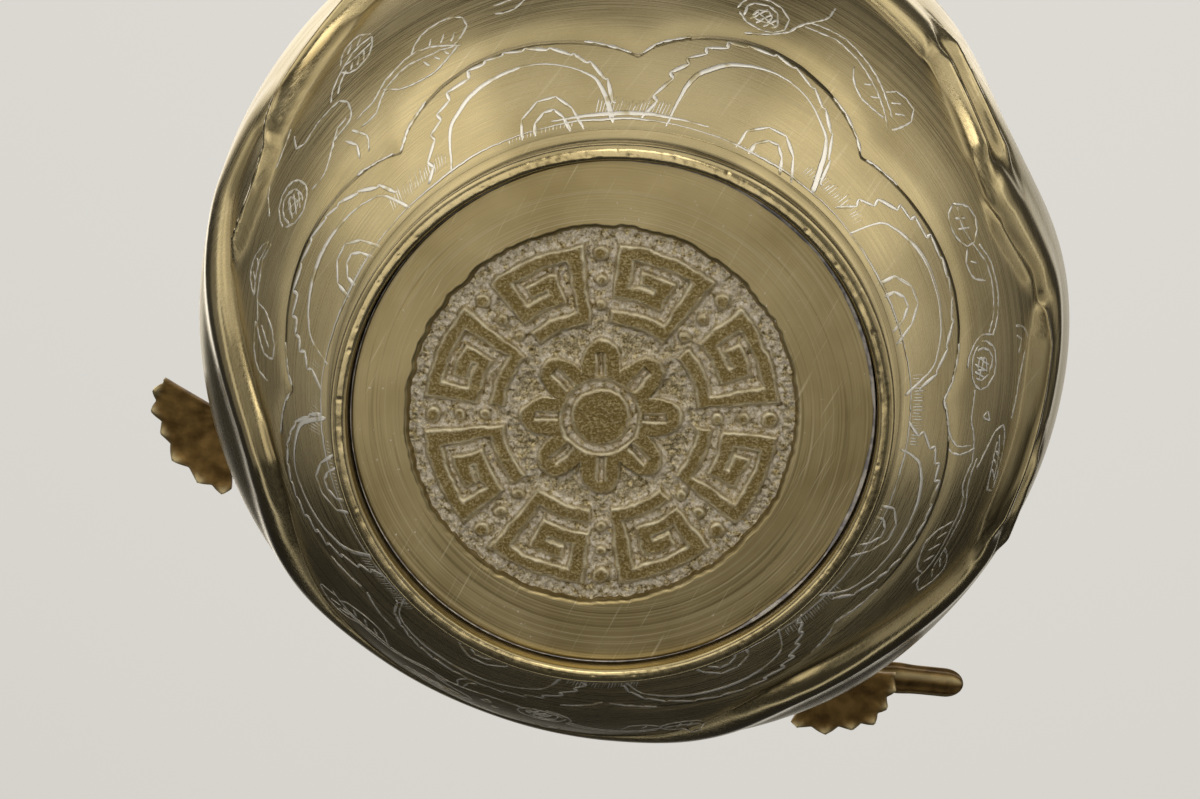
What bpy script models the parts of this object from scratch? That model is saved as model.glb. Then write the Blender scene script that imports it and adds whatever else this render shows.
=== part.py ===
"""A cast and chased brass vase on a turned foot ring, with three leafy sprays soldered to its shoulder.

The vase stands on the plane z = 0 with its axis on +Z. Sizes are in metres. An azimuth is in
degrees about +Z, from +X towards +Y.
"""

import math
from dataclasses import dataclass

import bpy
from mathutils import Matrix, Vector

# Driving dimensions of the turned body.
FOOT_RADIUS = 0.042
FOOT_HEIGHT = 0.007
FOOT_RIM_WIDTH = 0.0025
BELLY_RADIUS = 0.0735
BELLY_HEIGHT = 0.066
NECK_RADIUS = 0.029
NECK_HEIGHT = 0.134
MOUTH_RADIUS = 0.046
MOUTH_HEIGHT = 0.231
WALL = 0.0026
BOWL_FULLNESS = 0.9
NECK_FLARE = 2.4

# The base plate is let into the foot ring from below and soldered round its edge.
BASE_RECESS = 0.0032
BASE_THICKNESS = 0.0025
ROUNDEL_RADIUS = 0.0293
ROUNDEL_DEPTH = 0.0011
ROUNDEL_BOSS_RADIUS = 0.0085
SOLDER_WIDTH = 0.0012
SOLDER_HEIGHT = 0.0008

# The rolled lip that closes the neck.
LIP_RADIUS = 0.0032
LIP_POINTS = 12

# The soldered sprays.
BRANCH_RADIUS = 0.0026
LEAF_THICKNESS = 0.0014
LEAF_STALK_WIDTH = 0.0022
LEAF_STALK_LENGTH = 0.003
LEAF_CLEAR = 0.0011
LEAF_FAN = math.radians(44)
LEAF_TEETH = 5
LEAF_NOTCH = 0.8
LEAF_SHOULDER = 0.82
BLOSSOM_RADIUS = 0.0075
BLOSSOM_HEIGHT = 0.0032

# Pieces that touch are drawn this far apart.
GAP = 0.0003
TURN_STEPS = 48
BRANCH_STEPS = 5

COLLECTION_NAME = "gilt_brass_vase"
GILT_BRASS = ("gilt_brass", (0.50, 0.41, 0.20), 0.30)
TURNED_BRASS = ("turned_brass", (0.44, 0.37, 0.20), 0.38)
CAST_BRASS = ("cast_brass", (0.40, 0.30, 0.13), 0.45)
SOLDER = ("soft_solder", (0.46, 0.46, 0.45), 0.5)


@dataclass(frozen=True)
class Leaf:
    """A fan-shaped leaf, its stalk soldered to the body at an azimuth and a height.

    The heading is its way along the body, from 0 with rising azimuth to 90 straight up, and the
    lift is how far it then stands off the body, 90 being straight out. The swing then turns it in
    its own plane. All three are in degrees.
    """

    name: str
    azimuth: float
    height: float
    length: float
    heading: float
    lift: float
    swing: float = 0


@dataclass(frozen=True)
class Spray:
    """A branch along stations of (azimuth, height on the body, clearance), with leaves and a blossom."""

    name: str
    branch: tuple
    leaves: tuple
    blossom: tuple


SPRAYS = (
    Spray(
        "left",
        (
            (203, 0.11, 0.0032),
            (195, 0.1, 0.0031),
            (186, 0.0915, 0.0031),
            (174, 0.083, 0.0031),
            (162, 0.0772, 0.0035),
        ),
        (
            Leaf("low", 163, 0.0725, 0.0162, -90, 76, -16),
            Leaf("middle", 186.5, 0.0965, 0.018, 125, 16),
            Leaf("high", 191, 0.0915, 0.018, -25, 16),
        ),
        (188, 0.1145),
    ),
    Spray(
        "right",
        (
            (92, 0.106, 0.0032),
            (84, 0.096, 0.0031),
            (75, 0.086, 0.0034),
            (64, 0.0775, 0.005),
            (51.8, 0.0735, 0.021),
        ),
        (
            Leaf("low", 63.5, 0.0725, 0.0163, -90, 75),
            Leaf("middle", 76, 0.0915, 0.018, 125, 16),
            Leaf("high", 82, 0.0885, 0.018, -25, 16),
        ),
        (80, 0.11),
    ),
    Spray(
        "front",
        (
            (299, 0.106, 0.0032),
            (291, 0.096, 0.0031),
            (282, 0.086, 0.0031),
            (271, 0.0775, 0.0036),
            (257, 0.0745, 0.0136),
        ),
        (
            Leaf("low", 272, 0.0725, 0.0132, -90, 75),
            Leaf("middle", 283, 0.0915, 0.018, 125, 16),
            Leaf("high", 289, 0.0885, 0.018, -25, 16),
        ),
        (287, 0.11),
    ),
)


def bowl_radius(height):
    """Outer radius of the lower body, swelling from the foot to the belly."""
    share = max((height - FOOT_HEIGHT) / (BELLY_HEIGHT - FOOT_HEIGHT), 0)
    swell = math.sin(math.pi / 2 * share) ** BOWL_FULLNESS
    return FOOT_RADIUS + (BELLY_RADIUS - FOOT_RADIUS) * swell


def shoulder_radius(height):
    """Outer radius of the shoulder, an S-curve from the belly in to the neck."""
    share = (height - BELLY_HEIGHT) / (NECK_HEIGHT - BELLY_HEIGHT)
    return NECK_RADIUS + (BELLY_RADIUS - NECK_RADIUS) * (1 + math.cos(math.pi * share)) / 2


def neck_radius(height):
    """Outer radius of the neck, flaring up to the mouth."""
    share = (height - NECK_HEIGHT) / (MOUTH_HEIGHT - NECK_HEIGHT)
    return NECK_RADIUS + (MOUTH_RADIUS - NECK_RADIUS) * max(share, 0) ** NECK_FLARE


def outward(radius_at, height):
    """Unit (radius, height) vector square to a turned surface, pointing out."""
    step = 1e-5
    slope = (radius_at(height + step) - radius_at(height - step)) / (2 * step)
    return Vector((1, -slope)).normalized()


def heights(low, high, count):
    """Evenly spaced heights from low to high."""
    return [low + (high - low) * i / (count - 1) for i in range(count)]


def shell_profile(radius_at, low, high, count):
    """Closed profile of a wall of even thickness under a turned surface."""
    levels = heights(high, low, count)
    outer = [(radius_at(z), z) for z in levels]
    inner = []
    for z in levels:
        normal = outward(radius_at, z)
        inner_z = min(max(z - WALL * normal.y, low), high)
        inner.append((radius_at(z) - WALL * normal.x, inner_z))
    return outer + inner[::-1]


def make_material(name, colour, roughness):
    """Principled metal, made once and shared by name."""
    found = bpy.data.materials.get(name)
    if found:
        return found
    made = bpy.data.materials.new(name)
    made.use_nodes = True
    shader = made.node_tree.nodes["Principled BSDF"]
    shader.inputs["Base Color"].default_value = (*colour, 1)
    shader.inputs["Metallic"].default_value = 1
    shader.inputs["Roughness"].default_value = roughness
    return made


def place(obj, collection, metal):
    """Puts an object in the vase's collection with its metal."""
    collection.objects.link(obj)
    obj.data.materials.append(make_material(*metal))
    return obj


def turned(name, profile, collection, metal, closed=True):
    """Spins a (radius, height) profile that runs down its outer side about the Z axis."""
    mesh = bpy.data.meshes.new(name)
    edges = [(i, i + 1) for i in range(len(profile) - 1)]
    if closed:
        edges.append((len(profile) - 1, 0))
    mesh.from_pydata([(radius, 0, z) for radius, z in profile], edges, [])
    obj = place(bpy.data.objects.new(name, mesh), collection, metal)
    screw = obj.modifiers.new("turn", "SCREW")
    screw.steps = TURN_STEPS
    screw.render_steps = TURN_STEPS
    screw.use_smooth_shade = True
    screw.use_merge_vertices = True
    screw.merge_threshold = 0.00001
    return obj


def make_foot_ring(collection):
    """The foot: a short ring with a rounded rim, filed flat where it stands."""
    inner = FOOT_RADIUS - FOOT_RIM_WIDTH
    edge = FOOT_RIM_WIDTH / 5
    profile = [
        (FOOT_RADIUS, FOOT_HEIGHT),
        (FOOT_RADIUS, 3 * edge),
        (FOOT_RADIUS - edge / 3, edge),
        (FOOT_RADIUS - edge, 0),
        (inner + edge, 0),
        (inner + edge / 3, edge / 2),
        (inner, 2 * edge),
        (inner, FOOT_HEIGHT),
    ]
    return turned("foot_ring", profile, collection, GILT_BRASS)


def make_base_plate(collection):
    """The turned disc that closes the foot, with a sunk roundel and a central boss left proud in it."""
    edge = FOOT_RADIUS - FOOT_RIM_WIDTH - GAP
    under = BASE_RECESS
    ground = BASE_RECESS + ROUNDEL_DEPTH
    draft = ROUNDEL_DEPTH / 3
    profile = [
        (0, under + BASE_THICKNESS),
        (edge, under + BASE_THICKNESS),
        (edge, under),
        (ROUNDEL_RADIUS, under),
        (ROUNDEL_RADIUS - draft, ground),
        (ROUNDEL_BOSS_RADIUS + draft, ground),
        (ROUNDEL_BOSS_RADIUS, under),
        (0, under),
    ]
    return turned("base_plate", profile, collection, TURNED_BRASS, closed=False)


def make_base_solder(collection):
    """The bead of solder in the corner between the base plate and the ring."""
    outer = FOOT_RADIUS - FOOT_RIM_WIDTH - GAP
    top = BASE_RECESS - GAP
    profile = [
        (outer, top),
        (outer, top - SOLDER_HEIGHT),
        (outer - SOLDER_WIDTH / 2, top - SOLDER_HEIGHT / 2),
        (outer - SOLDER_WIDTH, top),
    ]
    return turned("base_solder", profile, collection, SOLDER)


def make_body(collection):
    """The three shells of the body, soldered one on another: bowl, shoulder and neck."""
    bowl = shell_profile(bowl_radius, FOOT_HEIGHT + GAP, BELLY_HEIGHT, 13)
    turned("lower_bowl", bowl, collection, GILT_BRASS)
    shoulder = shell_profile(shoulder_radius, BELLY_HEIGHT + GAP, NECK_HEIGHT, 13)
    turned("shoulder", shoulder, collection, GILT_BRASS)
    neck = shell_profile(neck_radius, NECK_HEIGHT + GAP, MOUTH_HEIGHT, 11)
    turned("neck", neck, collection, GILT_BRASS)


def make_mouth_rim(collection):
    """The rolled lip, a round wire soldered on the neck's edge."""
    centre_radius = MOUTH_RADIUS - WALL / 2
    centre_height = MOUTH_HEIGHT + GAP + LIP_RADIUS
    profile = []
    for i in range(LIP_POINTS):
        turn = math.pi / 2 - 2 * math.pi * i / LIP_POINTS
        radius = centre_radius + LIP_RADIUS * math.cos(turn)
        profile.append((radius, centre_height + LIP_RADIUS * math.sin(turn)))
    return turned("mouth_rim", profile, collection, GILT_BRASS)


def body_point(azimuth, height, clear):
    """A point at a clearance off the outer surface, square to it, and that surface's normal."""
    radius_at = shoulder_radius if height > BELLY_HEIGHT else bowl_radius
    normal = outward(radius_at, height)
    radius = radius_at(height) + clear * normal.x
    turn = math.radians(azimuth)
    spoke = Vector((math.cos(turn), math.sin(turn), 0))
    point = spoke * radius + Vector((0, 0, height + clear * normal.y))
    return point, spoke * normal.x + Vector((0, 0, normal.y))


def smooth_route(points, steps):
    """Catmull-Rom points through the given ones."""
    padded = [2 * points[0] - points[1], *points, 2 * points[-1] - points[-2]]
    route = []
    for a, b, c, d in zip(padded, padded[1:], padded[2:], padded[3:]):
        for i in range(steps):
            t = i / steps
            bend = (2 * a - 5 * b + 4 * c - d) * t**2 + (3 * b - a - 3 * c + d) * t**3
            route.append((2 * b + (c - a) * t + bend) / 2)
    return [*route, points[-1]]


def make_branch(spray, collection):
    """A round stem that hugs the shoulder, with a free end where its stations leave the body."""
    stations = [body_point(azimuth, height, clear)[0] for azimuth, height, clear in spray.branch]
    route = smooth_route(stations, BRANCH_STEPS)
    curve = bpy.data.curves.new(f"branch_{spray.name}", "CURVE")
    curve.dimensions = "3D"
    curve.bevel_depth = BRANCH_RADIUS
    curve.bevel_resolution = 2
    curve.use_fill_caps = True
    spline = curve.splines.new("POLY")
    spline.points.add(len(route) - 1)
    for point, place_on_route in zip(spline.points, route):
        point.co = (*place_on_route, 1)
    return place(bpy.data.objects.new(curve.name, curve), collection, CAST_BRASS)


def leaf_outline(length):
    """A toothed fan in its own plane, with the foot of its stalk at the origin and its tip along +X."""
    half_stalk = LEAF_STALK_WIDTH / 2
    points = [(0, -half_stalk), (LEAF_STALK_LENGTH, -half_stalk)]
    for i in range(2 * LEAF_TEETH + 1):
        turn = LEAF_FAN * (i / LEAF_TEETH - 1)
        reach = length * (1 - (1 - LEAF_SHOULDER) * (turn / LEAF_FAN) ** 2)
        if i % 2 == 0:
            reach *= LEAF_NOTCH
        points.append((reach * math.cos(turn), reach * math.sin(turn)))
    points += [(LEAF_STALK_LENGTH, half_stalk), (0, half_stalk)]
    return points


def make_leaf(spray, leaf, collection):
    """One flat cast leaf that springs from the body along its heading, lifted off the surface."""
    curve = bpy.data.curves.new(f"leaf_{leaf.name}_{spray.name}", "CURVE")
    curve.dimensions = "2D"
    curve.fill_mode = "BOTH"
    curve.extrude = LEAF_THICKNESS / 2
    outline = leaf_outline(leaf.length)
    spline = curve.splines.new("POLY")
    spline.points.add(len(outline) - 1)
    spline.use_cyclic_u = True
    for point, (x, y) in zip(spline.points, outline):
        point.co = (x, y, 0, 1)
    obj = place(bpy.data.objects.new(curve.name, curve), collection, CAST_BRASS)
    root, normal = body_point(leaf.azimuth, leaf.height, LEAF_CLEAR)
    turn = math.radians(leaf.azimuth)
    along = Vector((-math.sin(turn), math.cos(turn), 0))
    up = normal.cross(along)
    heading, lift = math.radians(leaf.heading), math.radians(leaf.lift)
    flat = along * math.cos(heading) + up * math.sin(heading)
    axis = flat * math.cos(lift) + normal * math.sin(lift)
    face = normal * math.cos(lift) - flat * math.sin(lift)
    axis = Matrix.Rotation(math.radians(leaf.swing), 3, face) @ axis
    frame = Matrix((axis, face.cross(axis), face)).transposed()
    obj.matrix_world = Matrix.Translation(root) @ frame.to_4x4()
    return obj


def make_blossom(spray, collection):
    """A domed blossom that lies flat on the shoulder."""
    bpy.ops.mesh.primitive_uv_sphere_add(segments=16, ring_count=8, radius=BLOSSOM_RADIUS)
    obj = bpy.context.object
    obj.name = f"blossom_{spray.name}"
    for owner in obj.users_collection:
        owner.objects.unlink(obj)
    flatten = BLOSSOM_HEIGHT / BLOSSOM_RADIUS
    obj.data.transform(Matrix.Diagonal((1, 1, flatten, 1)))
    obj.data.shade_smooth()
    azimuth, height = spray.blossom
    centre, normal = body_point(azimuth, height, BLOSSOM_HEIGHT + 2 * GAP)
    obj.matrix_world = Matrix.Translation(centre) @ normal.to_track_quat("Z", "Y").to_matrix().to_4x4()
    return place(obj, collection, CAST_BRASS)


def main():
    """Builds the vase from the foot up, then its sprays."""
    for obj in list(bpy.data.objects):
        bpy.data.objects.remove(obj, do_unlink=True)
    collection = bpy.data.collections.new(COLLECTION_NAME)
    bpy.context.scene.collection.children.link(collection)
    make_foot_ring(collection)
    make_base_plate(collection)
    make_base_solder(collection)
    make_body(collection)
    make_mouth_rim(collection)
    for spray in SPRAYS:
        make_branch(spray, collection)
        for leaf in spray.leaves:
            make_leaf(spray, leaf, collection)
        make_blossom(spray, collection)


main()
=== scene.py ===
"""Looks of a chased brass vase with leafy sprays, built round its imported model.

The vase stands on z = 0 with its axis on +Z, in metres. An azimuth is in degrees about +Z, from +X
towards +Y. Ornament is laid out in (azimuth, height) pairs, with the height in millimetres.
"""

import logging
import math
from collections.abc import Callable, Iterable, Sequence
from dataclasses import dataclass, field
from enum import Enum

import bpy
import numpy as np
from mathutils import Matrix, Vector


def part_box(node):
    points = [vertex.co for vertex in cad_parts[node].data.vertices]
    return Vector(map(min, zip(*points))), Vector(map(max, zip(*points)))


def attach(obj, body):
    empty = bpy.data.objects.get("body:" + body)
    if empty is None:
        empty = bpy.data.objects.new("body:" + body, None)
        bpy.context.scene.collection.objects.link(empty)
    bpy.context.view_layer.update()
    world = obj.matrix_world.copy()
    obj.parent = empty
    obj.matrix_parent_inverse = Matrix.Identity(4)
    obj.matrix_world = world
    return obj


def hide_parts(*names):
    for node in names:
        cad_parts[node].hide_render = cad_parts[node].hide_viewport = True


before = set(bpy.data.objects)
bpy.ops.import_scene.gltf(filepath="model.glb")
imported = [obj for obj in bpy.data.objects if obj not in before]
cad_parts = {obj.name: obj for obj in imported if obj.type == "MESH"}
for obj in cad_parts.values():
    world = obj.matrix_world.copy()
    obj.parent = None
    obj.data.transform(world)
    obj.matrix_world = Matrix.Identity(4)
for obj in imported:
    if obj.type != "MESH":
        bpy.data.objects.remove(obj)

LOG = logging.getLogger("vase")
MM = 0.001
BODY = "root"
Array = np.ndarray
Stroke = Sequence[tuple[float, float]]
Lumps = tuple[tuple[float, float, float], ...]
Piece = bpy.types.Object
Tree = bpy.types.NodeTree
Socket = bpy.types.NodeSocket


class Slot(Enum):
    """The record's material slots."""

    GILT = "gilt_brass"
    TURNED = "turned_brass"
    CAST = "cast_brass"
    SOLDER = "soft_solder"


class Line(Enum):
    """Widths of the engraver's cuts, in millimetres."""

    BOLD = 0.74
    PLAIN = 0.62
    LEAF = 0.4
    FINE = 0.54
    TICK = 0.16


class Way(Enum):
    """How the engraver led the tool."""

    SWEPT = "in one sweep"
    TAPPED = "in short taps along a curve"
    CORNERED = "in straight marks from corner to corner"


# Small helpers for numbers.


def smoothstep(low: float, high: float, value: Array) -> Array:
    """A smooth rise from 0 at low to 1 at high."""
    share = np.clip((value - low) / (high - low), 0, 1)
    return share * share * (3 - 2 * share)


def ripple(points: Array, size: float, seed: float) -> Array:
    """A soft random field between about -1 and 1.

    Args:
        points: Places, one per row, in metres.
        size: The width of its lumps in metres.
        seed: A shift that picks another field.

    Returns:
        One value per point, made from crossed waves.
    """
    scaled = points / size
    total = np.zeros(len(points))
    for turn in range(7):
        angle, lean = 2.4 * turn + 3.7 * seed, 0.6 * math.sin(1.9 * turn + seed)
        way = np.array([math.cos(angle) * math.cos(lean), math.sin(angle) * math.cos(lean), math.sin(lean)])
        total += np.sin(scaled @ way * (3.2 + 1.8 * (0.618 * turn % 1)) + 5.1 * turn + 7 * seed)
    return total / 3.5


def uneven(points: Array, lumps: Lumps) -> Array:
    """Several ripples together: each of the lumps is a depth, a width in millimetres and a seed."""
    return sum(depth * ripple(points, width * MM, seed) for depth, width, seed in lumps)


def unit(vectors: Array) -> Array:
    """Vectors, one per row, brought to length 1."""
    return vectors / np.maximum(np.linalg.norm(vectors, axis=1), 1e-12)[:, None]


def seated(seat: Matrix, points: Array) -> Array:
    """Points moved from a piece's own axes to its seat on the vase."""
    basis = np.array(seat)
    return points @ basis[:3, :3].T + basis[:3, 3]


def round_axis(radius: Array, azimuth: Array, height: Array) -> Array:
    """Points round Z from radii, azimuths in degrees and heights."""
    turn = np.radians(azimuth)
    return np.column_stack([radius * np.cos(turn), radius * np.sin(turn), height])


def smooth_path(points: Stroke | Array, step: float = math.inf, fewest: int = 2) -> Array:
    """Catmull-Rom points through a stroke, about one step apart.

    Args:
        points: The stroke's own points.
        step: The spacing, in the points' own units.
        fewest: How many points a span has at least.

    Returns:
        The dense points, one per row.
    """
    known = np.array(points, float)
    padded = np.vstack([2 * known[0] - known[1], known, 2 * known[-1] - known[-2]])
    dense = []
    for a, b, c, d in zip(padded, padded[1:], padded[2:], padded[3:]):
        count = max(fewest, int(np.hypot(*(c - b)[:2]) / step))
        t = np.arange(count)[:, None] / count
        bend = (2 * a - 5 * b + 4 * c - d) * t**2 + (3 * b - a - 3 * c + d) * t**3
        dense.append((2 * b + (c - a) * t + bend) / 2)
    return np.vstack([*dense, known[-1:]])


def linear(colour: str) -> tuple[float, float, float, float]:
    """Turns an sRGB hex colour to linear light.

    Args:
        colour: A value such as "#8F8058".

    Returns:
        Red, green, blue and an alpha of 1.
    """
    parts = [int(colour[i : i + 2], 16) / 255 for i in (1, 3, 5)]
    red, green, blue = (p / 12.92 if p <= 0.04045 else ((p + 0.055) / 1.055) ** 2.4 for p in parts)
    return red, green, blue, 1.0


# Small helpers for meshes.


def paint(piece: Piece, name: str, values: Array) -> None:
    """Stores one number per vertex, for a material to read."""
    layer = piece.data.attributes.new(name, "FLOAT", "POINT")
    layer.data.foreach_set("value", np.ascontiguousarray(values, np.float32))


def close_up(weld: float) -> None:
    """Merges the active piece's doubles, turns its faces out and shades it smooth.

    Args:
        weld: How near two vertices are merged, in metres.
    """
    bpy.ops.object.mode_set(mode="EDIT")
    bpy.ops.mesh.select_all(action="SELECT")
    bpy.ops.mesh.remove_doubles(threshold=weld)
    bpy.ops.mesh.normals_make_consistent(inside=False)
    bpy.ops.object.mode_set(mode="OBJECT")
    bpy.ops.object.shade_smooth()


def flat_grid(name: str, columns: int, rows: int) -> tuple[Piece, Array, Array]:
    """Adds a flat grid for a formula to shape.

    Args:
        name: The piece's name.
        columns: Faces across.
        rows: Faces along.

    Returns:
        The piece, and each vertex's shares across and along.
    """
    bpy.ops.object.select_all(action="DESELECT")
    bpy.ops.mesh.primitive_grid_add(x_subdivisions=columns, y_subdivisions=rows, size=1)
    piece = bpy.context.object
    piece.name = piece.data.name = name
    points = np.empty(len(piece.data.vertices) * 3)
    piece.data.vertices.foreach_get("co", points)
    counts = (columns, rows)
    across, along = (np.rint((points.reshape(-1, 3)[:, :2] + 0.5) * counts) / counts).T
    return piece, across, along


def turned_grid(name: str, columns: int, rows: int) -> tuple[Piece, Array, Array]:
    """Adds a grid that is to be a sleeve round Z whose section is a closed loop.

    Args:
        name: The piece's name.
        columns: How many steps make the full turn.
        rows: How many points the loop has.

    Returns:
        The piece, and each vertex's row in the loop and azimuth in degrees.
    """
    piece, across, along = flat_grid(name, columns, rows)
    row = np.rint(along * rows).astype(int) % rows
    return piece, row, np.rint(across * columns) % columns * (360 / columns)


def shape(piece: Piece, points: Array, weld: float = 1e-7, **paints: Array) -> None:
    """Moves a grid's vertices to where a formula puts them and closes the piece up.

    Args:
        piece: The active piece.
        points: Where its vertices go, one per row.
        weld: How near two vertices are merged, in metres.
        paints: One number per vertex, by name, for a material to read.
    """
    piece.data.vertices.foreach_set("co", np.ascontiguousarray(points, np.float32).ravel())
    piece.data.update()
    for name, values in paints.items():
        paint(piece, name, values)
    close_up(weld)


def settle(piece: Piece, finish: "Finish", slot: Slot, *nodes: str) -> None:
    """Dresses a finished piece and ties it to the frame.

    Args:
        piece: The piece.
        finish: What its surface is.
        slot: The record's slot that it belongs to; not used.
        nodes: The nodes that it stands for.
    """
    piece.data.materials.clear()
    piece.data.materials.append(finish.material())
    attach(piece, BODY)
    if nodes:
        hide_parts(*nodes)
    LOG.info("%s: %d faces", piece.name, len(piece.data.polygons))


# Finishes.


def add_node(
    tree: Tree, kind: str, inputs: dict | None = None, output: str = "", **settings
) -> Socket | None:
    """Adds a shader node with its settings and links.

    Args:
        tree: The node tree.
        kind: The node's type name, after "ShaderNode".
        inputs: Values, hex colours or other nodes' outputs, by socket name or number. In a MapRange, 0 is
            the value, 1 and 2 are where it comes from and 3 and 4 where it goes to.
        output: The output to give back, if not the first live one.
        settings: The node's own properties.

    Returns:
        The output, or None for a node that ends a tree.
    """
    node = tree.nodes.new("ShaderNode" + kind)
    for key, value in settings.items():
        setattr(node, key, value)
    for key, value in (inputs or {}).items():
        if isinstance(value, Socket):
            tree.links.new(value, node.inputs[key])
        else:
            node.inputs[key].default_value = linear(value) if isinstance(value, str) else value
    if output:
        return node.outputs[output]
    return next((socket for socket in node.outputs if socket.enabled), None)


@dataclass(frozen=True)
class Finish:
    """A surface: its material is made once and shared."""

    name: str

    def material(self) -> bpy.types.Material:
        """Makes the material on first use.

        Returns:
            The material, shared by every piece of this finish.
        """
        found = bpy.data.materials.get(self.name)
        if found:
            return found
        made = bpy.data.materials.new(self.name)
        made.use_nodes = True
        tree = made.node_tree
        tree.nodes.clear()
        place = add_node(tree, "TexCoord", output="Object")
        add_node(tree, "OutputMaterial", {"Surface": self.shade(tree, place)})
        return made

    def shade(self, tree: Tree, place: Socket) -> Socket:
        """Builds the nodes.

        Args:
            tree: The material's nodes.
            place: The piece's own coordinates.

        Returns:
            The shader.
        """
        raise NotImplementedError


def wheel_marks(tree: Tree, place: Socket, pitch: float, drift: float) -> Socket:
    """Marks that run in rings round the axis, from turning and polishing.

    Args:
        tree: The node tree.
        place: The piece's coordinates.
        pitch: The spacing of the rings in metres.
        drift: The length over which a ring mark changes, in metres.

    Returns:
        Noise drawn out into rings, from 0 to 1.
    """
    level = add_node(tree, "VectorMath", {0: place, 1: (1, 1, 0)}, operation="MULTIPLY")
    radius = add_node(tree, "VectorMath", {0: level}, operation="LENGTH")
    height = add_node(tree, "SeparateXYZ", {0: place}, output="Z")
    rings = add_node(tree, "CombineXYZ", {"X": radius, "Y": height})
    counted = add_node(tree, "VectorMath", {0: rings, "Scale": 1 / pitch}, operation="SCALE")
    slow = add_node(tree, "VectorMath", {0: place, "Scale": 1 / drift}, operation="SCALE")
    drawn = add_node(tree, "VectorMath", {0: counted, 1: slow}, operation="ADD")
    return add_node(tree, "TexNoise", {"Vector": drawn, "Scale": 1.0, "Detail": 2.0})


def rag_scratches(
    tree: Tree, place: Socket, pitch: float, length: float, turn: tuple[float, float, float]
) -> Socket:
    """A few straight scratches across a surface, as grit in a rag leaves them.

    Args:
        tree: The node tree.
        place: The piece's coordinates.
        pitch: Their spacing in metres.
        length: How long each is, in metres.
        turn: Their direction, as turns about X, Y and Z in degrees.

    Returns:
        1 in a scratch and 0 between scratches.
    """
    spins = tuple(math.radians(angle) for angle in turn)
    turned = add_node(tree, "Mapping", {"Vector": place, "Rotation": spins})
    drawn = add_node(tree, "Mapping", {"Vector": turned, "Scale": (1 / length, 1 / pitch, 1 / length)})
    lines = add_node(tree, "TexNoise", {"Vector": drawn, "Scale": 1.0, "Detail": 2.0})
    return add_node(tree, "MapRange", {0: lines, 1: 0.64, 2: 0.74})


@dataclass(frozen=True)
class PolishedBrass(Finish):
    """Brass polished by hand on a soft wheel, with grime and painted shade darkening its creases."""

    light: str = "#C9BA90"
    dark: str = "#B5A67C"
    shade_and_grime: str = "#4E4024"
    bright: str = "#E6DBBB"
    dull: str = "#83734C"
    roughness: tuple[float, float] = (0.22, 0.36)
    # A polishing wheel's own marks are finer than this and would not show, so they are drawn coarser.
    ring_pitch: float = 0.24 * MM
    ring_drift: float = 12 * MM
    cloud_size: float = 18 * MM
    ring_depth: float = 0.02 * MM
    rub_pitch: float = 0.4 * MM
    rub_length: float = 14 * MM
    rub_turn: tuple[float, float, float] = (24, 12, 55)
    rub: float = 0.3
    rubbed_gloss: float = 0.5
    mark: float = 0.2

    def shade(self, tree: Tree, place: Socket) -> Socket:
        """Clouds of two golds, ring marks and a few scratches, with painted shade and grime by their paint.

        Args:
            tree: The material's nodes.
            place: The piece's own coordinates.

        Returns:
            The shader.
        """
        mist = add_node(tree, "TexNoise", {"Vector": place, "Scale": 1 / self.cloud_size, "Detail": 3.0})
        clouds = add_node(tree, "MapRange", {0: mist, 1: 0.35, 2: 0.65})
        rings = wheel_marks(tree, place, self.ring_pitch, self.ring_drift)
        fresh = add_node(tree, "MapRange", {0: rings, 1: 0.54, 2: 0.72, 4: self.mark})
        tired = add_node(tree, "MapRange", {0: rings, 1: 0.46, 2: 0.3, 4: self.mark})
        cuts = rag_scratches(tree, place, self.rub_pitch, self.rub_length, self.rub_turn)
        few = add_node(tree, "Math", {0: cuts, 1: self.rub}, operation="MULTIPLY")
        # This paint darkens creases, recesses and inner walls: painted shade, with some grime.
        crease = add_node(tree, "Attribute", output="Fac", attribute_name="crease")
        coats = [(clouds, self.light), (fresh, self.bright), (tired, self.dull), (few, self.bright)]
        colour = self.dark
        for cover, coat in [*coats, (crease, self.shade_and_grime)]:
            colour = add_node(tree, "Mix", {"Factor": cover, "A": colour, "B": coat}, data_type="RGBA")
        satin = {0: rings, 1: 0.34, 2: 0.66, 3: self.roughness[0], 4: self.roughness[1]}
        worked = add_node(tree, "MapRange", satin)
        rubbed = add_node(tree, "Attribute", output="Fac", attribute_name="rubbed")
        gloss = add_node(tree, "MapRange", {0: rubbed, 3: 1.0, 4: self.rubbed_gloss})
        rough = add_node(tree, "Math", {0: worked, 1: gloss}, operation="MULTIPLY")
        bump = add_node(tree, "Bump", {"Height": rings, "Strength": 0.4, "Distance": self.ring_depth})
        look = {"Base Color": colour, "Metallic": 1.0, "Roughness": rough, "Normal": bump}
        return add_node(tree, "BsdfPrincipled", look)


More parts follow.
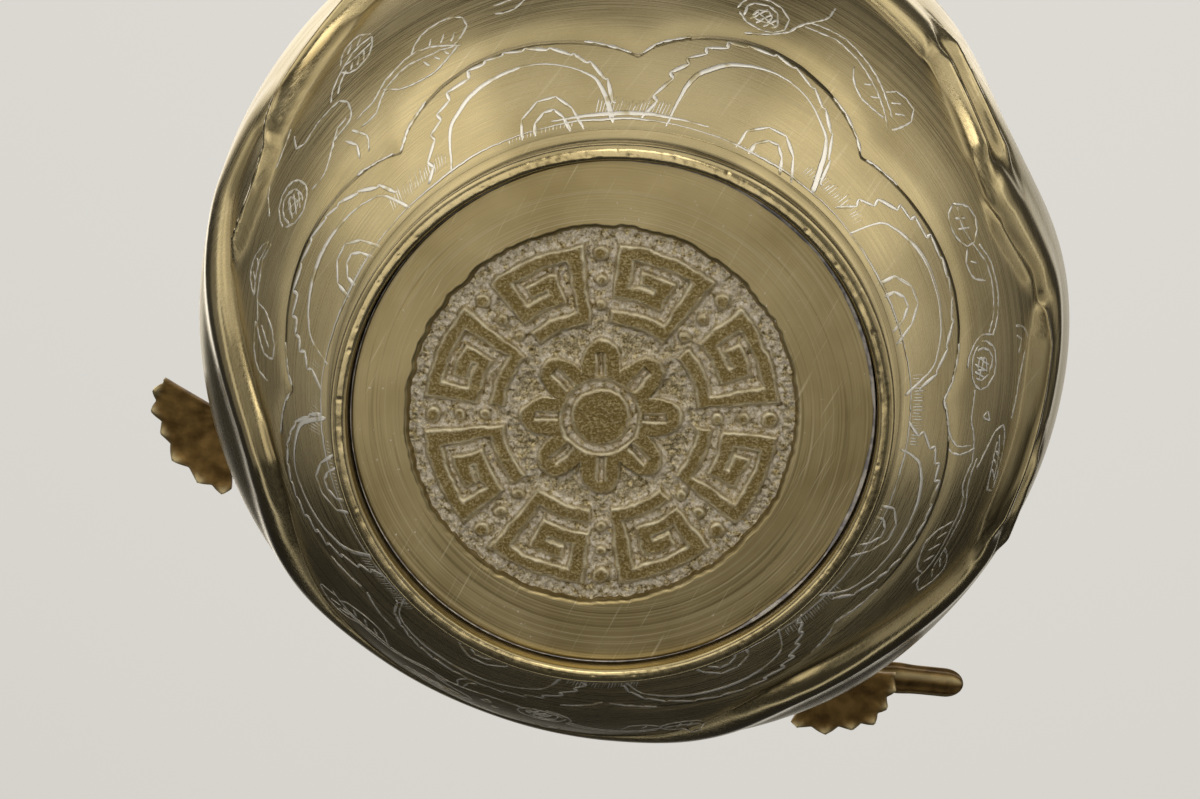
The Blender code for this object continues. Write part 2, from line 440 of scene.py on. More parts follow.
@dataclass(frozen=True)
class TurnedBrass(Finish):
    """Brass faced on a lathe and left to dull."""

    light: str = "#B9AA80"
    dark: str = "#9A8B62"
    scratch: str = "#DDD2B0"
    stain: str = "#675A3A"
    shade_and_grime: str = "#43371F"
    speck: str = "#DDD6C4"
    roughness: tuple[float, float] = (0.28, 0.44)
    # The lathe's feed marks are about a third of this and would not show, so they are drawn coarser.
    ring_pitch: float = 0.34 * MM
    ring_drift: float = 24 * MM
    ring_depth: float = 0.03 * MM
    bloom_size: float = 15 * MM
    crumb_size: float = 0.7 * MM
    rub_pitch: float = 0.3 * MM
    rub_length: float = 12 * MM
    rub_turn: tuple[float, float, float] = (0, 0, 62)
    rub: float = 0.5
    mark: float = 0.46

    def shade(self, tree: Tree, place: Socket) -> Socket:
        """Tool rings with scratches laid across them, and crumbs of dried polish in places.

        Args:
            tree: The material's nodes.
            place: The piece's own coordinates.

        Returns:
            The shader.
        """
        mist = add_node(tree, "TexNoise", {"Vector": place, "Scale": 1 / self.bloom_size, "Detail": 3.0})
        bloom = add_node(tree, "MapRange", {0: mist, 1: 0.3, 2: 0.7})
        rings = wheel_marks(tree, place, self.ring_pitch, self.ring_drift)
        fresh = add_node(tree, "MapRange", {0: rings, 1: 0.55, 2: 0.7, 4: self.mark})
        tired = add_node(tree, "MapRange", {0: rings, 1: 0.45, 2: 0.3, 4: self.mark})
        cuts = rag_scratches(tree, place, self.rub_pitch, self.rub_length, self.rub_turn)
        few = add_node(tree, "Math", {0: cuts, 1: self.rub}, operation="MULTIPLY")
        crumbs = add_node(tree, "TexNoise", {"Vector": place, "Scale": 1 / self.crumb_size, "Detail": 1.0})
        crumb = add_node(tree, "MapRange", {0: crumbs, 1: 0.74, 2: 0.8})
        zones = add_node(tree, "MapRange", {0: mist, 1: 0.5, 2: 0.56})
        dots = add_node(tree, "Math", {0: crumb, 1: zones}, operation="MULTIPLY")
        # This paint darkens the disc beside the foot ring's wall and round the roundel's well: painted
        # shade.
        crease = add_node(tree, "Attribute", output="Fac", attribute_name="crease")
        coats = [(bloom, self.light), (fresh, self.scratch), (tired, self.stain), (few, self.scratch)]
        colour = self.dark
        for cover, coat in [*coats, (dots, self.speck), (crease, self.shade_and_grime)]:
            colour = add_node(tree, "Mix", {"Factor": cover, "A": colour, "B": coat}, data_type="RGBA")
        satin = {0: rings, 1: 0.3, 2: 0.7, 3: self.roughness[0], 4: self.roughness[1]}
        rough = add_node(tree, "MapRange", satin)
        bump = add_node(tree, "Bump", {"Height": rings, "Strength": 0.35, "Distance": self.ring_depth})
        metal = add_node(tree, "MapRange", {0: dots, 3: 1.0, 4: 0.1})
        look = {"Base Color": colour, "Metallic": metal, "Roughness": rough, "Normal": bump}
        return add_node(tree, "BsdfPrincipled", look)


@dataclass(frozen=True)
class ChalkedCasting(Finish):
    """Sand-cast brass with polish dried where the rag can't reach."""

    brass: str = "#8B7848"
    edge: str = "#F8F0D2"
    grit: str = "#75663F"
    glint: str = "#E4D5A8"
    crust: str = "#D8CDB6"
    chalk: str = "#FBF6EC"
    # Moulding sand is finer than this and would not show, so its grain is drawn coarser.
    grain: float = 0.34 * MM
    grain_depth: float = 0.22 * MM
    patch_size: float = 0.9 * MM

    def shade(self, tree: Tree, place: Socket) -> Socket:
        """Gritty brass all over, chalked by the chalk paint and rubbed bright by the worn paint.

        Args:
            tree: The material's nodes.
            place: The piece's own coordinates.

        Returns:
            The shader.
        """
        paints = ("raised", "worn", "chalk")
        raised, worn, chalked = (
            add_node(tree, "Attribute", output="Fac", attribute_name=name) for name in paints
        )
        sand = {"Vector": place, "Scale": 1 / self.grain, "Detail": 5.0, "Roughness": 0.62}
        grains = add_node(tree, "TexNoise", sand)
        coarse = add_node(tree, "MapRange", {0: grains, 1: 0.38, 2: 0.62})
        soils = {"Factor": coarse, "A": self.grit, "B": self.glint}
        ground = add_node(tree, "Mix", soils, data_type="RGBA")
        fine = add_node(tree, "MapRange", {0: grains, 1: 0.46, 2: 0.66, 4: 0.6})
        tops = {"Factor": fine, "A": self.brass, "B": self.glint}
        top = add_node(tree, "Mix", tops, data_type="RGBA")
        rubbed = add_node(tree, "Mix", {"Factor": worn, "A": top, "B": self.edge}, data_type="RGBA")
        metal = add_node(tree, "Mix", {"Factor": raised, "A": ground, "B": rubbed}, data_type="RGBA")
        patches = add_node(tree, "TexNoise", {"Vector": place, "Scale": 1 / self.patch_size, "Detail": 5.0})
        caught = add_node(tree, "MapRange", {0: patches, 1: 0.38, 2: 0.56})
        held = add_node(tree, "Math", {0: chalked, 1: caught}, operation="MULTIPLY")
        dusts = {"Factor": coarse, "A": self.crust, "B": self.chalk}
        dust = add_node(tree, "Mix", dusts, data_type="RGBA")
        colour = add_node(tree, "Mix", {"Factor": held, "A": metal, "B": dust}, data_type="RGBA")
        metallic = add_node(tree, "MapRange", {0: held, 2: 0.8, 3: 1.0, 4: 0.5})
        rough = add_node(tree, "MapRange", {0: held, 2: 0.8, 3: 0.4, 4: 0.6})
        bump = add_node(tree, "Bump", {"Height": grains, "Strength": 0.8, "Distance": self.grain_depth})
        look = {"Base Color": colour, "Metallic": metallic, "Roughness": rough, "Normal": bump}
        return add_node(tree, "BsdfPrincipled", look)


@dataclass(frozen=True)
class CastBrass(Finish):
    """Brass left as it came from the mould, apart from its rubbed rims."""

    skin: str = "#8A6F42"
    dark: str = "#5F4A2A"
    bright: str = "#E0D2A4"
    mottle_size: float = 3 * MM
    grain: float = 0.7 * MM
    grain_depth: float = 0.06 * MM

    def shade(self, tree: Tree, place: Socket) -> Socket:
        """A mottled skin, with bright metal by the rim paint.

        Args:
            tree: The material's nodes.
            place: The piece's own coordinates.

        Returns:
            The shader.
        """
        spots = add_node(tree, "TexNoise", {"Vector": place, "Scale": 1 / self.mottle_size, "Detail": 4.0})
        mottle = add_node(tree, "MapRange", {0: spots, 1: 0.35, 2: 0.65})
        skin = add_node(tree, "Mix", {"Factor": mottle, "A": self.dark, "B": self.skin}, data_type="RGBA")
        rim = add_node(tree, "Attribute", output="Fac", attribute_name="rim")
        colour = add_node(tree, "Mix", {"Factor": rim, "A": skin, "B": self.bright}, data_type="RGBA")
        rough = add_node(tree, "MapRange", {0: rim, 3: 0.5, 4: 0.28})
        grains = add_node(tree, "TexNoise", {"Vector": place, "Scale": 1 / self.grain, "Detail": 3.0})
        bump = add_node(tree, "Bump", {"Height": grains, "Strength": 0.4, "Distance": self.grain_depth})
        look = {"Base Color": colour, "Metallic": 1.0, "Roughness": rough, "Normal": bump}
        return add_node(tree, "BsdfPrincipled", look)


@dataclass(frozen=True)
class BrightCut(Finish):
    """Brass cut by a graver, with polish dried in the cut."""

    pale: str = "#FFFCF2"
    dull: str = "#CFC39C"
    burr_shadow: str = "#4A3D22"
    metal: float = 0.8
    roughness: float = 0.32
    stretch: float = 3 * MM

    def shade(self, tree: Tree, place: Socket) -> Socket:
        """Pale strokes, dull where the polish was rubbed out, and a painted shadow where the bright paint
        ends.

        Args:
            tree: The material's nodes.
            place: The piece's own coordinates.

        Returns:
            The shader.
        """
        rubs = add_node(tree, "TexNoise", {"Vector": place, "Scale": 1 / self.stretch, "Detail": 2.0})
        kept = add_node(tree, "MapRange", {0: rubs, 1: 0.32, 2: 0.44})
        cut = add_node(tree, "Mix", {"Factor": kept, "A": self.dull, "B": self.pale}, data_type="RGBA")
        # Where the bright paint is 0, on the burrs, the cut's shadow is painted dark.
        bright = add_node(tree, "Attribute", output="Fac", attribute_name="bright")
        colour = add_node(tree, "Mix", {"Factor": bright, "A": self.burr_shadow, "B": cut}, data_type="RGBA")
        look = {"Base Color": colour, "Metallic": self.metal, "Roughness": self.roughness}
        return add_node(tree, "BsdfPrincipled", look)


@dataclass(frozen=True)
class SoftSolder(Finish):
    """Tin solder run into a joint, with its old flux."""

    grey: str = "#97959A"
    flux: str = "#C6C2BC"
    patch_size: float = 1.6 * MM

    def shade(self, tree: Tree, place: Socket) -> Socket:
        """Grey metal with patches of flux.

        Args:
            tree: The material's nodes.
            place: The piece's own coordinates.

        Returns:
            The shader.
        """
        spots = add_node(tree, "TexNoise", {"Vector": place, "Scale": 1 / self.patch_size, "Detail": 3.0})
        patches = add_node(tree, "MapRange", {0: spots, 1: 0.42, 2: 0.6})
        greys = {"Factor": patches, "A": self.grey, "B": self.flux}
        colour = add_node(tree, "Mix", greys, data_type="RGBA")
        metal = add_node(tree, "MapRange", {0: patches, 3: 0.7, 4: 0.1})
        return add_node(tree, "BsdfPrincipled", {"Base Color": colour, "Metallic": metal, "Roughness": 0.5})


# Satin gold, streaked round the axis, and brown in the creases from painted shade and grime.
POLISHED = PolishedBrass("hand_polished_brass")
# Dull gold with fine circles, scratches across them and a brown bloom.
TURNED = TurnedBrass("lathe_faced_brass")
# Gritty gold with bright edges, whitened round each stroke.
CHALKED = ChalkedCasting("sand_cast_brass_with_dried_polish")
# Warm mottled brown, bright along the rims.
CAST = CastBrass("sand_cast_brass")
# White strokes between burrs painted dark as the cut's shadow.
CUT = BrightCut("bright_cut_brass")
# Dull blue-grey with chalky patches.
SOLDER = SoftSolder("tin_solder")


# The body's turned shape.


@dataclass(frozen=True)
class Body:
    """The turned shape that every piece of the vase sits on, in metres."""

    foot_radius: float
    foot_height: float
    belly_radius: float
    belly_height: float
    neck_height: float
    mouth_radius: float
    mouth_height: float
    neck_radius: float = 29 * MM
    wall: float = 2.6 * MM
    fullness: float = 0.9
    fillet: float = 0.8 * MM
    flare: float = 2.4
    oval: float = 0.016
    oval_azimuth: float = 320.0
    oval_fade: float = 26 * MM
    dent: float = 3.4 * MM
    dent_azimuth: float = 333.0
    dent_spread: float = 15.0
    dent_rise: float = 16 * MM

    @classmethod
    def from_frame(cls) -> "Body":
        """Reads the sizes from the frame's boxes.

        Returns:
            The body.
        """
        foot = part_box("foot_ring")[1]
        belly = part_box("lower_bowl")[1]
        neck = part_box("shoulder")[1]
        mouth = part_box("neck")[1]
        return cls(foot.x, foot.z, belly.x, belly.z, neck.z, mouth.x, mouth.z)

    def radius(self, height: Array) -> Array:
        """The outer radius of bowl, shoulder and neck.

        Args:
            height: In metres.

        Returns:
            The radius at each height.
        """
        height = np.asarray(height, float)
        above = height - self.foot_height
        above = (above + np.sqrt(above**2 + 4 * self.fillet**2)) / 2
        rise = np.clip(above / (self.belly_height - self.foot_height), 1e-9, 1)
        swell = np.sin(np.pi / 2 * rise) ** self.fullness
        bowl = self.foot_radius + (self.belly_radius - self.foot_radius) * swell
        rise = np.clip((height - self.belly_height) / (self.neck_height - self.belly_height), 0, 1)
        swell = (1 + np.cos(np.pi * rise)) / 2
        shoulder = self.neck_radius + (self.belly_radius - self.neck_radius) * swell
        rise = np.clip((height - self.neck_height) / (self.mouth_height - self.neck_height), 0, 1.05)
        neck = self.neck_radius + (self.mouth_radius - self.neck_radius) * rise**self.flare
        upper = np.where(height < self.neck_height, shoulder, neck)
        return np.where(height < self.belly_height, bowl, upper)

    def normal(self, height: Array) -> tuple[Array, Array]:
        """The surface's normal.

        Args:
            height: In metres.

        Returns:
            Its outward and its upward part at each height.
        """
        step = 0.02 * MM
        slope = (self.radius(height + step) - self.radius(height - step)) / (2 * step)
        length = np.sqrt(1 + slope**2)
        return 1 / length, -slope / length

    def out_of_round(self, points: Array) -> Array:
        """Makes the foot a little oval, and pushes in one side of the belly.

        Args:
            points: On a true turned shape.

        Returns:
            The points as the hammer left them.
        """
        azimuth = np.arctan2(points[:, 1], points[:, 0])
        fade = 1 - smoothstep(self.foot_height, self.oval_fade, points[:, 2])
        factor = 1 + self.oval * fade * np.cos(2 * (azimuth - math.radians(self.oval_azimuth)))
        aside = (np.degrees(azimuth) - self.dent_azimuth + 180) % 360 - 180
        away = (aside / self.dent_spread) ** 2 + ((points[:, 2] - self.belly_height) / self.dent_rise) ** 2
        factor -= self.dent / self.belly_radius * np.exp(-away)
        return points * np.column_stack([factor, factor, np.ones(len(points))])

    def place(self, azimuth: Array, height: Array, lift: Array | float) -> Array:
        """Points a lift off the turned surface, square to it.

        Args:
            azimuth: In degrees.
            height: Of the foot of the lift, in metres.
            lift: Outwards, in metres.

        Returns:
            The points, one per row.
        """
        out, up = self.normal(height)
        return self.out_of_round(round_axis(self.radius(height) + lift * out, azimuth, height + lift * up))


def round_curve(stations: Stroke, soften: float) -> Callable[[Array], Array]:
    """A closed curve of height over azimuth.

    Args:
        stations: (azimuth, height in millimetres) pairs in rising azimuth.
        soften: How far corners are rounded, in degrees.

    Returns:
        A function from azimuths to heights in metres.
    """
    known = np.array(stations, float)
    wide = np.vstack([known - (360, 0), known, known + (360, 0)])
    fine = np.arange(0, 360, 0.25)
    taps = np.linspace(-2, 2, 17)
    weights = np.exp(-taps * taps)
    level = sum(w * np.interp(fine + soften * t, wide[:, 0], wide[:, 1]) for t, w in zip(taps, weights))
    level = level / weights.sum() * MM
    return lambda azimuth: np.interp(np.asarray(azimuth) % 360, fine, level, period=360)


@dataclass(frozen=True)
class Petal:
    """One chased petal of the foot, from its cusp to the next petal's, in degrees and millimetres."""

    cusp: float
    cusp_height: float
    crown: float
    crown_height: float
    arch: float


@dataclass(frozen=True)
class Ridge:
    """A rope-like swelling hammered out of the wall along a stroke, in millimetres.

    Its start and end say how full it is there.
    """

    stroke: Stroke
    half_width: float
    height: float
    start: float = 0.3
    end: float = 0.3


@dataclass
class Relief:
    """What the chaser raised on the bowl: petals round the foot, and a mantle with a rolled lip above."""

    body: Body
    petal_step: float = 0.28 * MM
    furrow: float = 0.3 * MM
    furrow_width: float = 1.7 * MM
    lip_height: float = 3.3 * MM
    lip_width: float = 4.6 * MM
    mantle_height: float = 1.9 * MM
    mantle_run: float = 7 * MM
    mantle_sink: tuple[float, float] = (38 * MM, 60 * MM)
    mantle_fade: tuple[float, float] = (66 * MM, 80 * MM)
    mantle_sunk: float = 0.25 * MM
    ditch_depth: float = 0.7 * MM
    lip_reach: float = 14.0
    chart_turn: float = 0.5
    chart_rise: float = 0.25 * MM
    petals: tuple[Petal, ...] = (
        Petal(0, 15, 23, 18.5, 26),
        Petal(46.5, 15.7, 67, 20.4, 68),
        Petal(92, 16.5, 116, 22.2, 117),
        Petal(140, 16.5, 163, 20.8, 163),
        Petal(180, 15, 205, 19, 209),
        Petal(229, 15.2, 253, 21.4, 258),
        Petal(273.5, 17.7, 292, 24, 300.5),
        Petal(314.5, 17.3, 337, 20, 339.5),
    )
    lip: Stroke = (
        (0, 37.5), (10, 35.5), (20, 34.5), (28, 35.5), (33, 34), (40, 29.5), (47, 25.8), (55, 23.4),
        (60, 23), (66, 24), (72, 27), (78, 32), (84, 37), (95, 41), (110, 42.5), (125, 41.5), (138, 38),
        (144, 33.5),
        (150, 28.8), (157, 24.8), (165, 22.9), (172, 23.4), (178, 25.6), (184, 29), (190, 33.5), (196, 39),
        (201, 43), (211, 44), (214, 40), (222, 41), (232, 44), (245, 47), (258, 48), (272, 48.5), (286, 47),
        (300, 44), (315, 40.5), (322, 37), (329, 34), (336, 33), (345, 36.5), (351, 39.5),
    )
    ridges: tuple[Ridge, ...] = (
        Ridge(((192.5, 35.4), (198, 34.6), (204, 34.4), (208, 35.4), (211.3, 37)), 1.9, 2.3, 0.2, 1.0),
        Ridge(((212.6, 38.6), (219, 41), (229, 45), (238, 51), (246, 60)), 2.6, 3.2, 0.9, 0.3),
        Ridge(((211.4, 37.3), (212, 37.9), (212.5, 38.5)), 1.7, 2.7, 1.0, 1.0),
        Ridge(((-26, 32.4), (-20, 33.2), (-14, 36), (-9, 39)), 1.6, 1.2),
        Ridge(((-7, 39.4), (0, 37.8), (10, 36.6), (20, 36), (29, 37)), 2.9, 2.6, 0.6, 0.4),
        Ridge(((10, 42.5), (17, 42), (24, 43.5), (31, 48)), 2.4, 2.0),
        Ridge(((-47, 46), (-41, 41), (-35, 37.6), (-28, 35)), 2.5, 2.7),
        Ridge(((-48, 52), (-41, 46), (-33, 42), (-24, 41)), 2.5, 2.5),
    )
    # How full the roll is by azimuth, in thousandths, which round_curve turns to shares.
    fullness: Stroke = (
        (0, 600), (20, 550), (40, 700), (58, 900), (76, 560), (90, 260), (110, 120), (130, 250), (150, 700),
        (170, 800), (188, 800), (202, 500), (215, 350), (250, 350), (300, 500), (330, 600),
    )
    petal_edge: Callable[[Array], Array] = field(init=False)
    lip_edge: Callable[[Array], Array] = field(init=False)
    swell: Callable[[Array], Array] = field(init=False)
    chart: Array = field(init=False)

    def __post_init__(self) -> None:
        """Turns the stations into smooth edges."""
        stations = []
        for petal, after in zip(self.petals, self.petals[1:] + self.petals[:1]):
            end = after.cusp + (360 if after.cusp < petal.cusp else 0)
            for share in (0.0, 0.06, 0.14, 0.25, 0.38, 0.5, 0.62, 0.75, 0.86, 0.94):
                azimuth = petal.cusp + share * (end - petal.cusp)
                base = petal.cusp_height + share * (after.cusp_height - petal.cusp_height)
                swell = math.sin(math.pi * share) ** 0.7
                stations.append((azimuth, base + (petal.crown_height - base) * swell))
        self.petal_edge = round_curve(stations, 0.35)
        self.lip_edge = round_curve(self.lip, 1.3)
        self.swell = round_curve(self.fullness, 3)
        self.chart = self.draw_chart()

    def draw_chart(self) -> Array:
        """Works out the mantle's lift once, for the engraver to look up.

        Returns:
            The lift on an even grid, a row per height.
        """
        turns = np.arange(0, 360, self.chart_turn)
        rises = np.arange(self.body.foot_height, self.body.belly_height + 1 * MM, self.chart_rise)
        azimuth, height = np.meshgrid(turns, rises)
        lifted, _ = self.mantle(azimuth.ravel(), height.ravel())
        return lifted.reshape(azimuth.shape)

    def charted(self, azimuth: Array, height: Array) -> Array:
        """The mantle's lift, read between the chart's points.

        Args:
            azimuth: In degrees.
            height: In metres.

        Returns:
            The lift in metres.
        """
        across = np.asarray(azimuth) % 360 / self.chart_turn
        along = np.clip((height - self.body.foot_height) / self.chart_rise, 0, len(self.chart) - 1.001)
        column, row = np.floor(across).astype(int), np.floor(along).astype(int)
        x, y = across - column, along - row
        left, right = column % self.chart.shape[1], (column + 1) % self.chart.shape[1]
        low, high = (self.chart[i, left] * (1 - x) + self.chart[i, right] * x for i in (row, row + 1))
        return low * (1 - y) + high * y

    def to_stroke(self, azimuth: Array, height: Array, stroke: Stroke) -> tuple[Array, Array]:
        """The distance along the surface from points to a stroke.

        Args:
            azimuth: Of the points, in degrees.
            height: Of the points, in metres.
            stroke: (azimuth, height in millimetres) pairs.

        Returns:
            Distances in metres, 1 for points far off, and the share of the stroke that each is nearest to.
        """
        path = smooth_path(stroke, 0.15)
        path[:, 1] *= MM
        apart, share = np.full(len(azimuth), 1.0), np.zeros(len(azimuth))
        around = (azimuth - path[:, 0].mean() + 180) % 360 - 180
        near = np.flatnonzero(np.abs(around) < 30)
        turn, rise = around[near] + path[:, 0].mean(), height[near]
        radius, out = self.body.radius(rise), np.maximum(self.body.normal(rise)[0], 0.35)
        best, place = apart[near], share[near]
        for index, (station, level) in enumerate(path):
            gap = np.hypot(np.radians(turn - station) * radius, (rise - level) / out)
            place = np.where(gap < best, index / (len(path) - 1), place)
            best = np.minimum(best, gap)
        apart[near], share[near] = best, place
        return apart, share

    def to_lip(self, azimuth: Array, height: Array) -> Array:
        """The distance along the surface to the mantle's lip.

        Args:
            azimuth: In degrees.
            height: In metres.

        Returns:
            Distances in metres.
        """
        found = np.full(len(azimuth), 40 * MM)
        around = self.body.radius(height)
        out = np.maximum(self.body.normal(height)[0], 0.35)
        for turn in np.arange(-self.lip_reach, self.lip_reach + 0.01, 0.2):
            along = (height - self.lip_edge(azimuth + turn)) / out
            found = np.minimum(found, np.hypot(math.radians(turn) * around, along))
        return found

    def level(self, azimuth: Array, height: Array) -> Array:
        """How proud the mantle's plain field stands, dying out on the shoulder.

        Args:
            azimuth: In degrees.
            height: In metres.

        Returns:
            The lift in metres.
        """
        sink = smoothstep(*self.mantle_sink, height)
        fade = 1 - smoothstep(*self.mantle_fade, height)
        return (self.mantle_height * (1 - sink) * self.swell(azimuth) + self.mantle_sunk * sink) * fade

    def mantle(self, azimuth: Array, height: Array) -> tuple[Array, Array]:
        """The mantle without the petals.

        Args:
            azimuth: In degrees.
            height: In metres.

        Returns:
            The lift in metres, and the painted shade and grime along its creases from 0 to 1.
        """
        lip = self.lip_edge(azimuth)
        gap = self.to_lip(azimuth, height)
        share = 1 - np.minimum(gap, self.lip_width) / self.lip_width
        roll = self.lip_height * self.swell(azimuth) * np.sqrt(1 - share**2)
        calm = smoothstep(self.lip_width, self.lip_width + self.mantle_run, gap)
        raised = roll + (self.level(azimuth, height) - roll) * calm
        lifted = np.where(height > lip, raised, 0)
        # Painted shade along the lip, darker on the ground below it than on the roll.
        shade_and_grime = np.where(height > lip, 0.35 * np.exp(-gap / (0.5 * MM)), 0.7 * np.exp(-gap / (0.7 * MM)))
        for ridge in self.ridges:
            apart, along = self.to_stroke(azimuth, height, ridge.stroke)
            full = np.clip(np.minimum(along / 0.3 + ridge.start, (1 - along) / 0.3 + ridge.end), 0, 1)
            width = ridge.half_width * MM * np.maximum(full, 0.05)
            share = np.clip(apart / width, 0, 1)
            bulge = ridge.height * MM * full * np.cos(np.pi / 2 * share) ** 1.2
            ditch = np.exp(-(((apart - 1.3 * width) / (0.5 * width)) ** 2)) * full
            lifted = np.maximum(lifted - self.ditch_depth * ditch * (height > lip), bulge)
            # Painted shade along the foot of each ridge.
            shade_and_grime = np.maximum(shade_and_grime, 0.4 * full * np.exp(-(((apart - 1.1 * width) / (0.9 * MM)) ** 2)))
        return lifted, shade_and_grime

    def lift(self, azimuth: Array, height: Array) -> tuple[Array, Array]:
        """The relief at points of the bowl.

        Args:
            azimuth: In degrees.
            height: In metres.

        Returns:
            The lift off the turned shape in metres, and the painted shade and grime in its creases from 0
            to 1.
        """
        lifted, shade_and_grime = self.mantle(azimuth, height)
        edge = np.abs(height - self.petal_edge(azimuth))
        # A thin line of painted shade along the step of the petals.
        shade_and_grime = np.maximum(shade_and_grime, 0.2 * np.exp(-edge / (0.12 * MM)))
        return lifted + self.petal_lift(azimuth, height), np.clip(shade_and_grime, 0, 1)

    def place(self, azimuth: Array, height: Array, lift: Array | float = 0.0) -> Array:
        """Points a lift off the chased surface of the bowl."""
        raised = self.charted(azimuth, height) + self.petal_lift(azimuth, height)
        return self.body.place(azimuth, height, raised + lift)

    def petal_lift(self, azimuth: Array, height: Array) -> Array:
        """The step of the petals, eased away at the foot, and the furrow chased round them.

        Args:
            azimuth: In degrees.
            height: In metres.

        Returns:
            The lift in metres.
        """
        above = height - self.petal_edge(azimuth)
        ease = smoothstep(self.body.foot_height, self.body.foot_height + 1.6 * MM, height)
        furrow = self.furrow * np.exp(-((above / self.furrow_width) ** 2))
        return np.where(above < -0.02 * MM, self.petal_step * ease, -furrow)


@dataclass
class Bowl:
    """The lower body: a chased wall from the foot to the belly."""

    body: Body
    relief: Relief
    columns: int = 800
    petal_rows: int = 18
    ground_rows: int = 26
    lip_steps: tuple[float, ...] = (0.08, 0.25, 0.5, 0.8, 1.2, 1.7, 2.3, 3.0, 3.8, 4.8)
    mantle_rows: int = 44
    inner_rows: int = 10
    planishing: int = 5
    hammer_marks: Lumps = ((0.03, 14, 0.7),)

    def row_heights(self, azimuth: Array) -> Array:
        """Heights of the section's rows, the outer ones following the petals and the lip.

        Args:
            azimuth: In degrees.

        Returns:
            A row of heights in metres for each row of the section.
        """
        foot, top = self.body.foot_height, self.body.belly_height
        petal = self.relief.petal_edge(azimuth)
        lip = self.relief.lip_edge(azimuth)
        under, over = petal - 0.14 * MM, petal + 0.16 * MM
        shares = [0, 0.006, *np.linspace(0, 1, self.petal_rows - 1)[1:] ** 0.85]
        rows = [foot + (under - foot) * share for share in shares]
        rows += [petal, over]
        rows += [over + (lip - over) * share for share in np.linspace(0, 1, self.ground_rows + 1)[1:]]
        rows += [lip + step * MM for step in self.lip_steps]
        last = rows[-1]
        shares = [*np.linspace(0, 1, self.mantle_rows)[1:-1], 0.997, 1]
        rows += [last + (top - last) * share for share in shares]
        rows += [np.full(len(azimuth), level) for level in np.linspace(top, foot, self.inner_rows)]
        return np.array(rows)

    def build(self) -> None:
        """Spins the wall and raises its relief."""
        outer_count = self.petal_rows + 2 + self.ground_rows + len(self.lip_steps) + self.mantle_rows
        piece, row, azimuth = turned_grid("bowl_wall", self.columns, outer_count + self.inner_rows)
        height = self.row_heights(azimuth)[row, np.arange(len(row))]
        outside = row < outer_count
        lifted, crease = self.relief.lift(azimuth, height)
        lifted = np.where(outside, lifted + self.hand(azimuth, height), -self.body.wall)
        points = self.body.place(azimuth, height, lifted)
        points[:, 2] = np.clip(points[:, 2], self.body.foot_height - 0.2 * MM, self.body.belly_height)
        rubbed = smoothstep(1.0 * MM, 2.4 * MM, lifted)
        above = height - self.relief.petal_edge(azimuth)
        worked = outside * smoothstep(0.5 * MM, 1.5 * MM, above) * (height < self.body.belly_height)
        # The inside of the wall is painted dark as shade.
        shape(piece, points, crease=np.where(outside, crease, 0.6), rubbed=rubbed, planished=worked)
        self.planish(piece)
        settle(piece, POLISHED, Slot.GILT, "lower_bowl")

    def planish(self, piece: Piece) -> None:
        """Smooths the wall above the petals, as light hammering does, and leaves its rims alone.

        Args:
            piece: The wall.
        """
        worked = np.empty(len(piece.data.vertices), np.float32)
        piece.data.attributes["planished"].data.foreach_get("value", worked)
        group = piece.vertex_groups.new(name="planished")
        for index in np.flatnonzero(worked > 0):
            group.add([int(index)], float(worked[index]), "REPLACE")
        smooth = piece.modifiers.new("planishing", "SMOOTH")
        smooth.vertex_group = group.name
        smooth.iterations = self.planishing
        bpy.ops.object.modifier_apply(modifier=smooth.name)

    def hand(self, azimuth: Array, height: Array) -> Array:
        """Unevenness left by the hammer, which breaks up the highlights."""
        return MM * uneven(self.body.place(azimuth, height, 0.0), self.hammer_marks)


# Engraving.


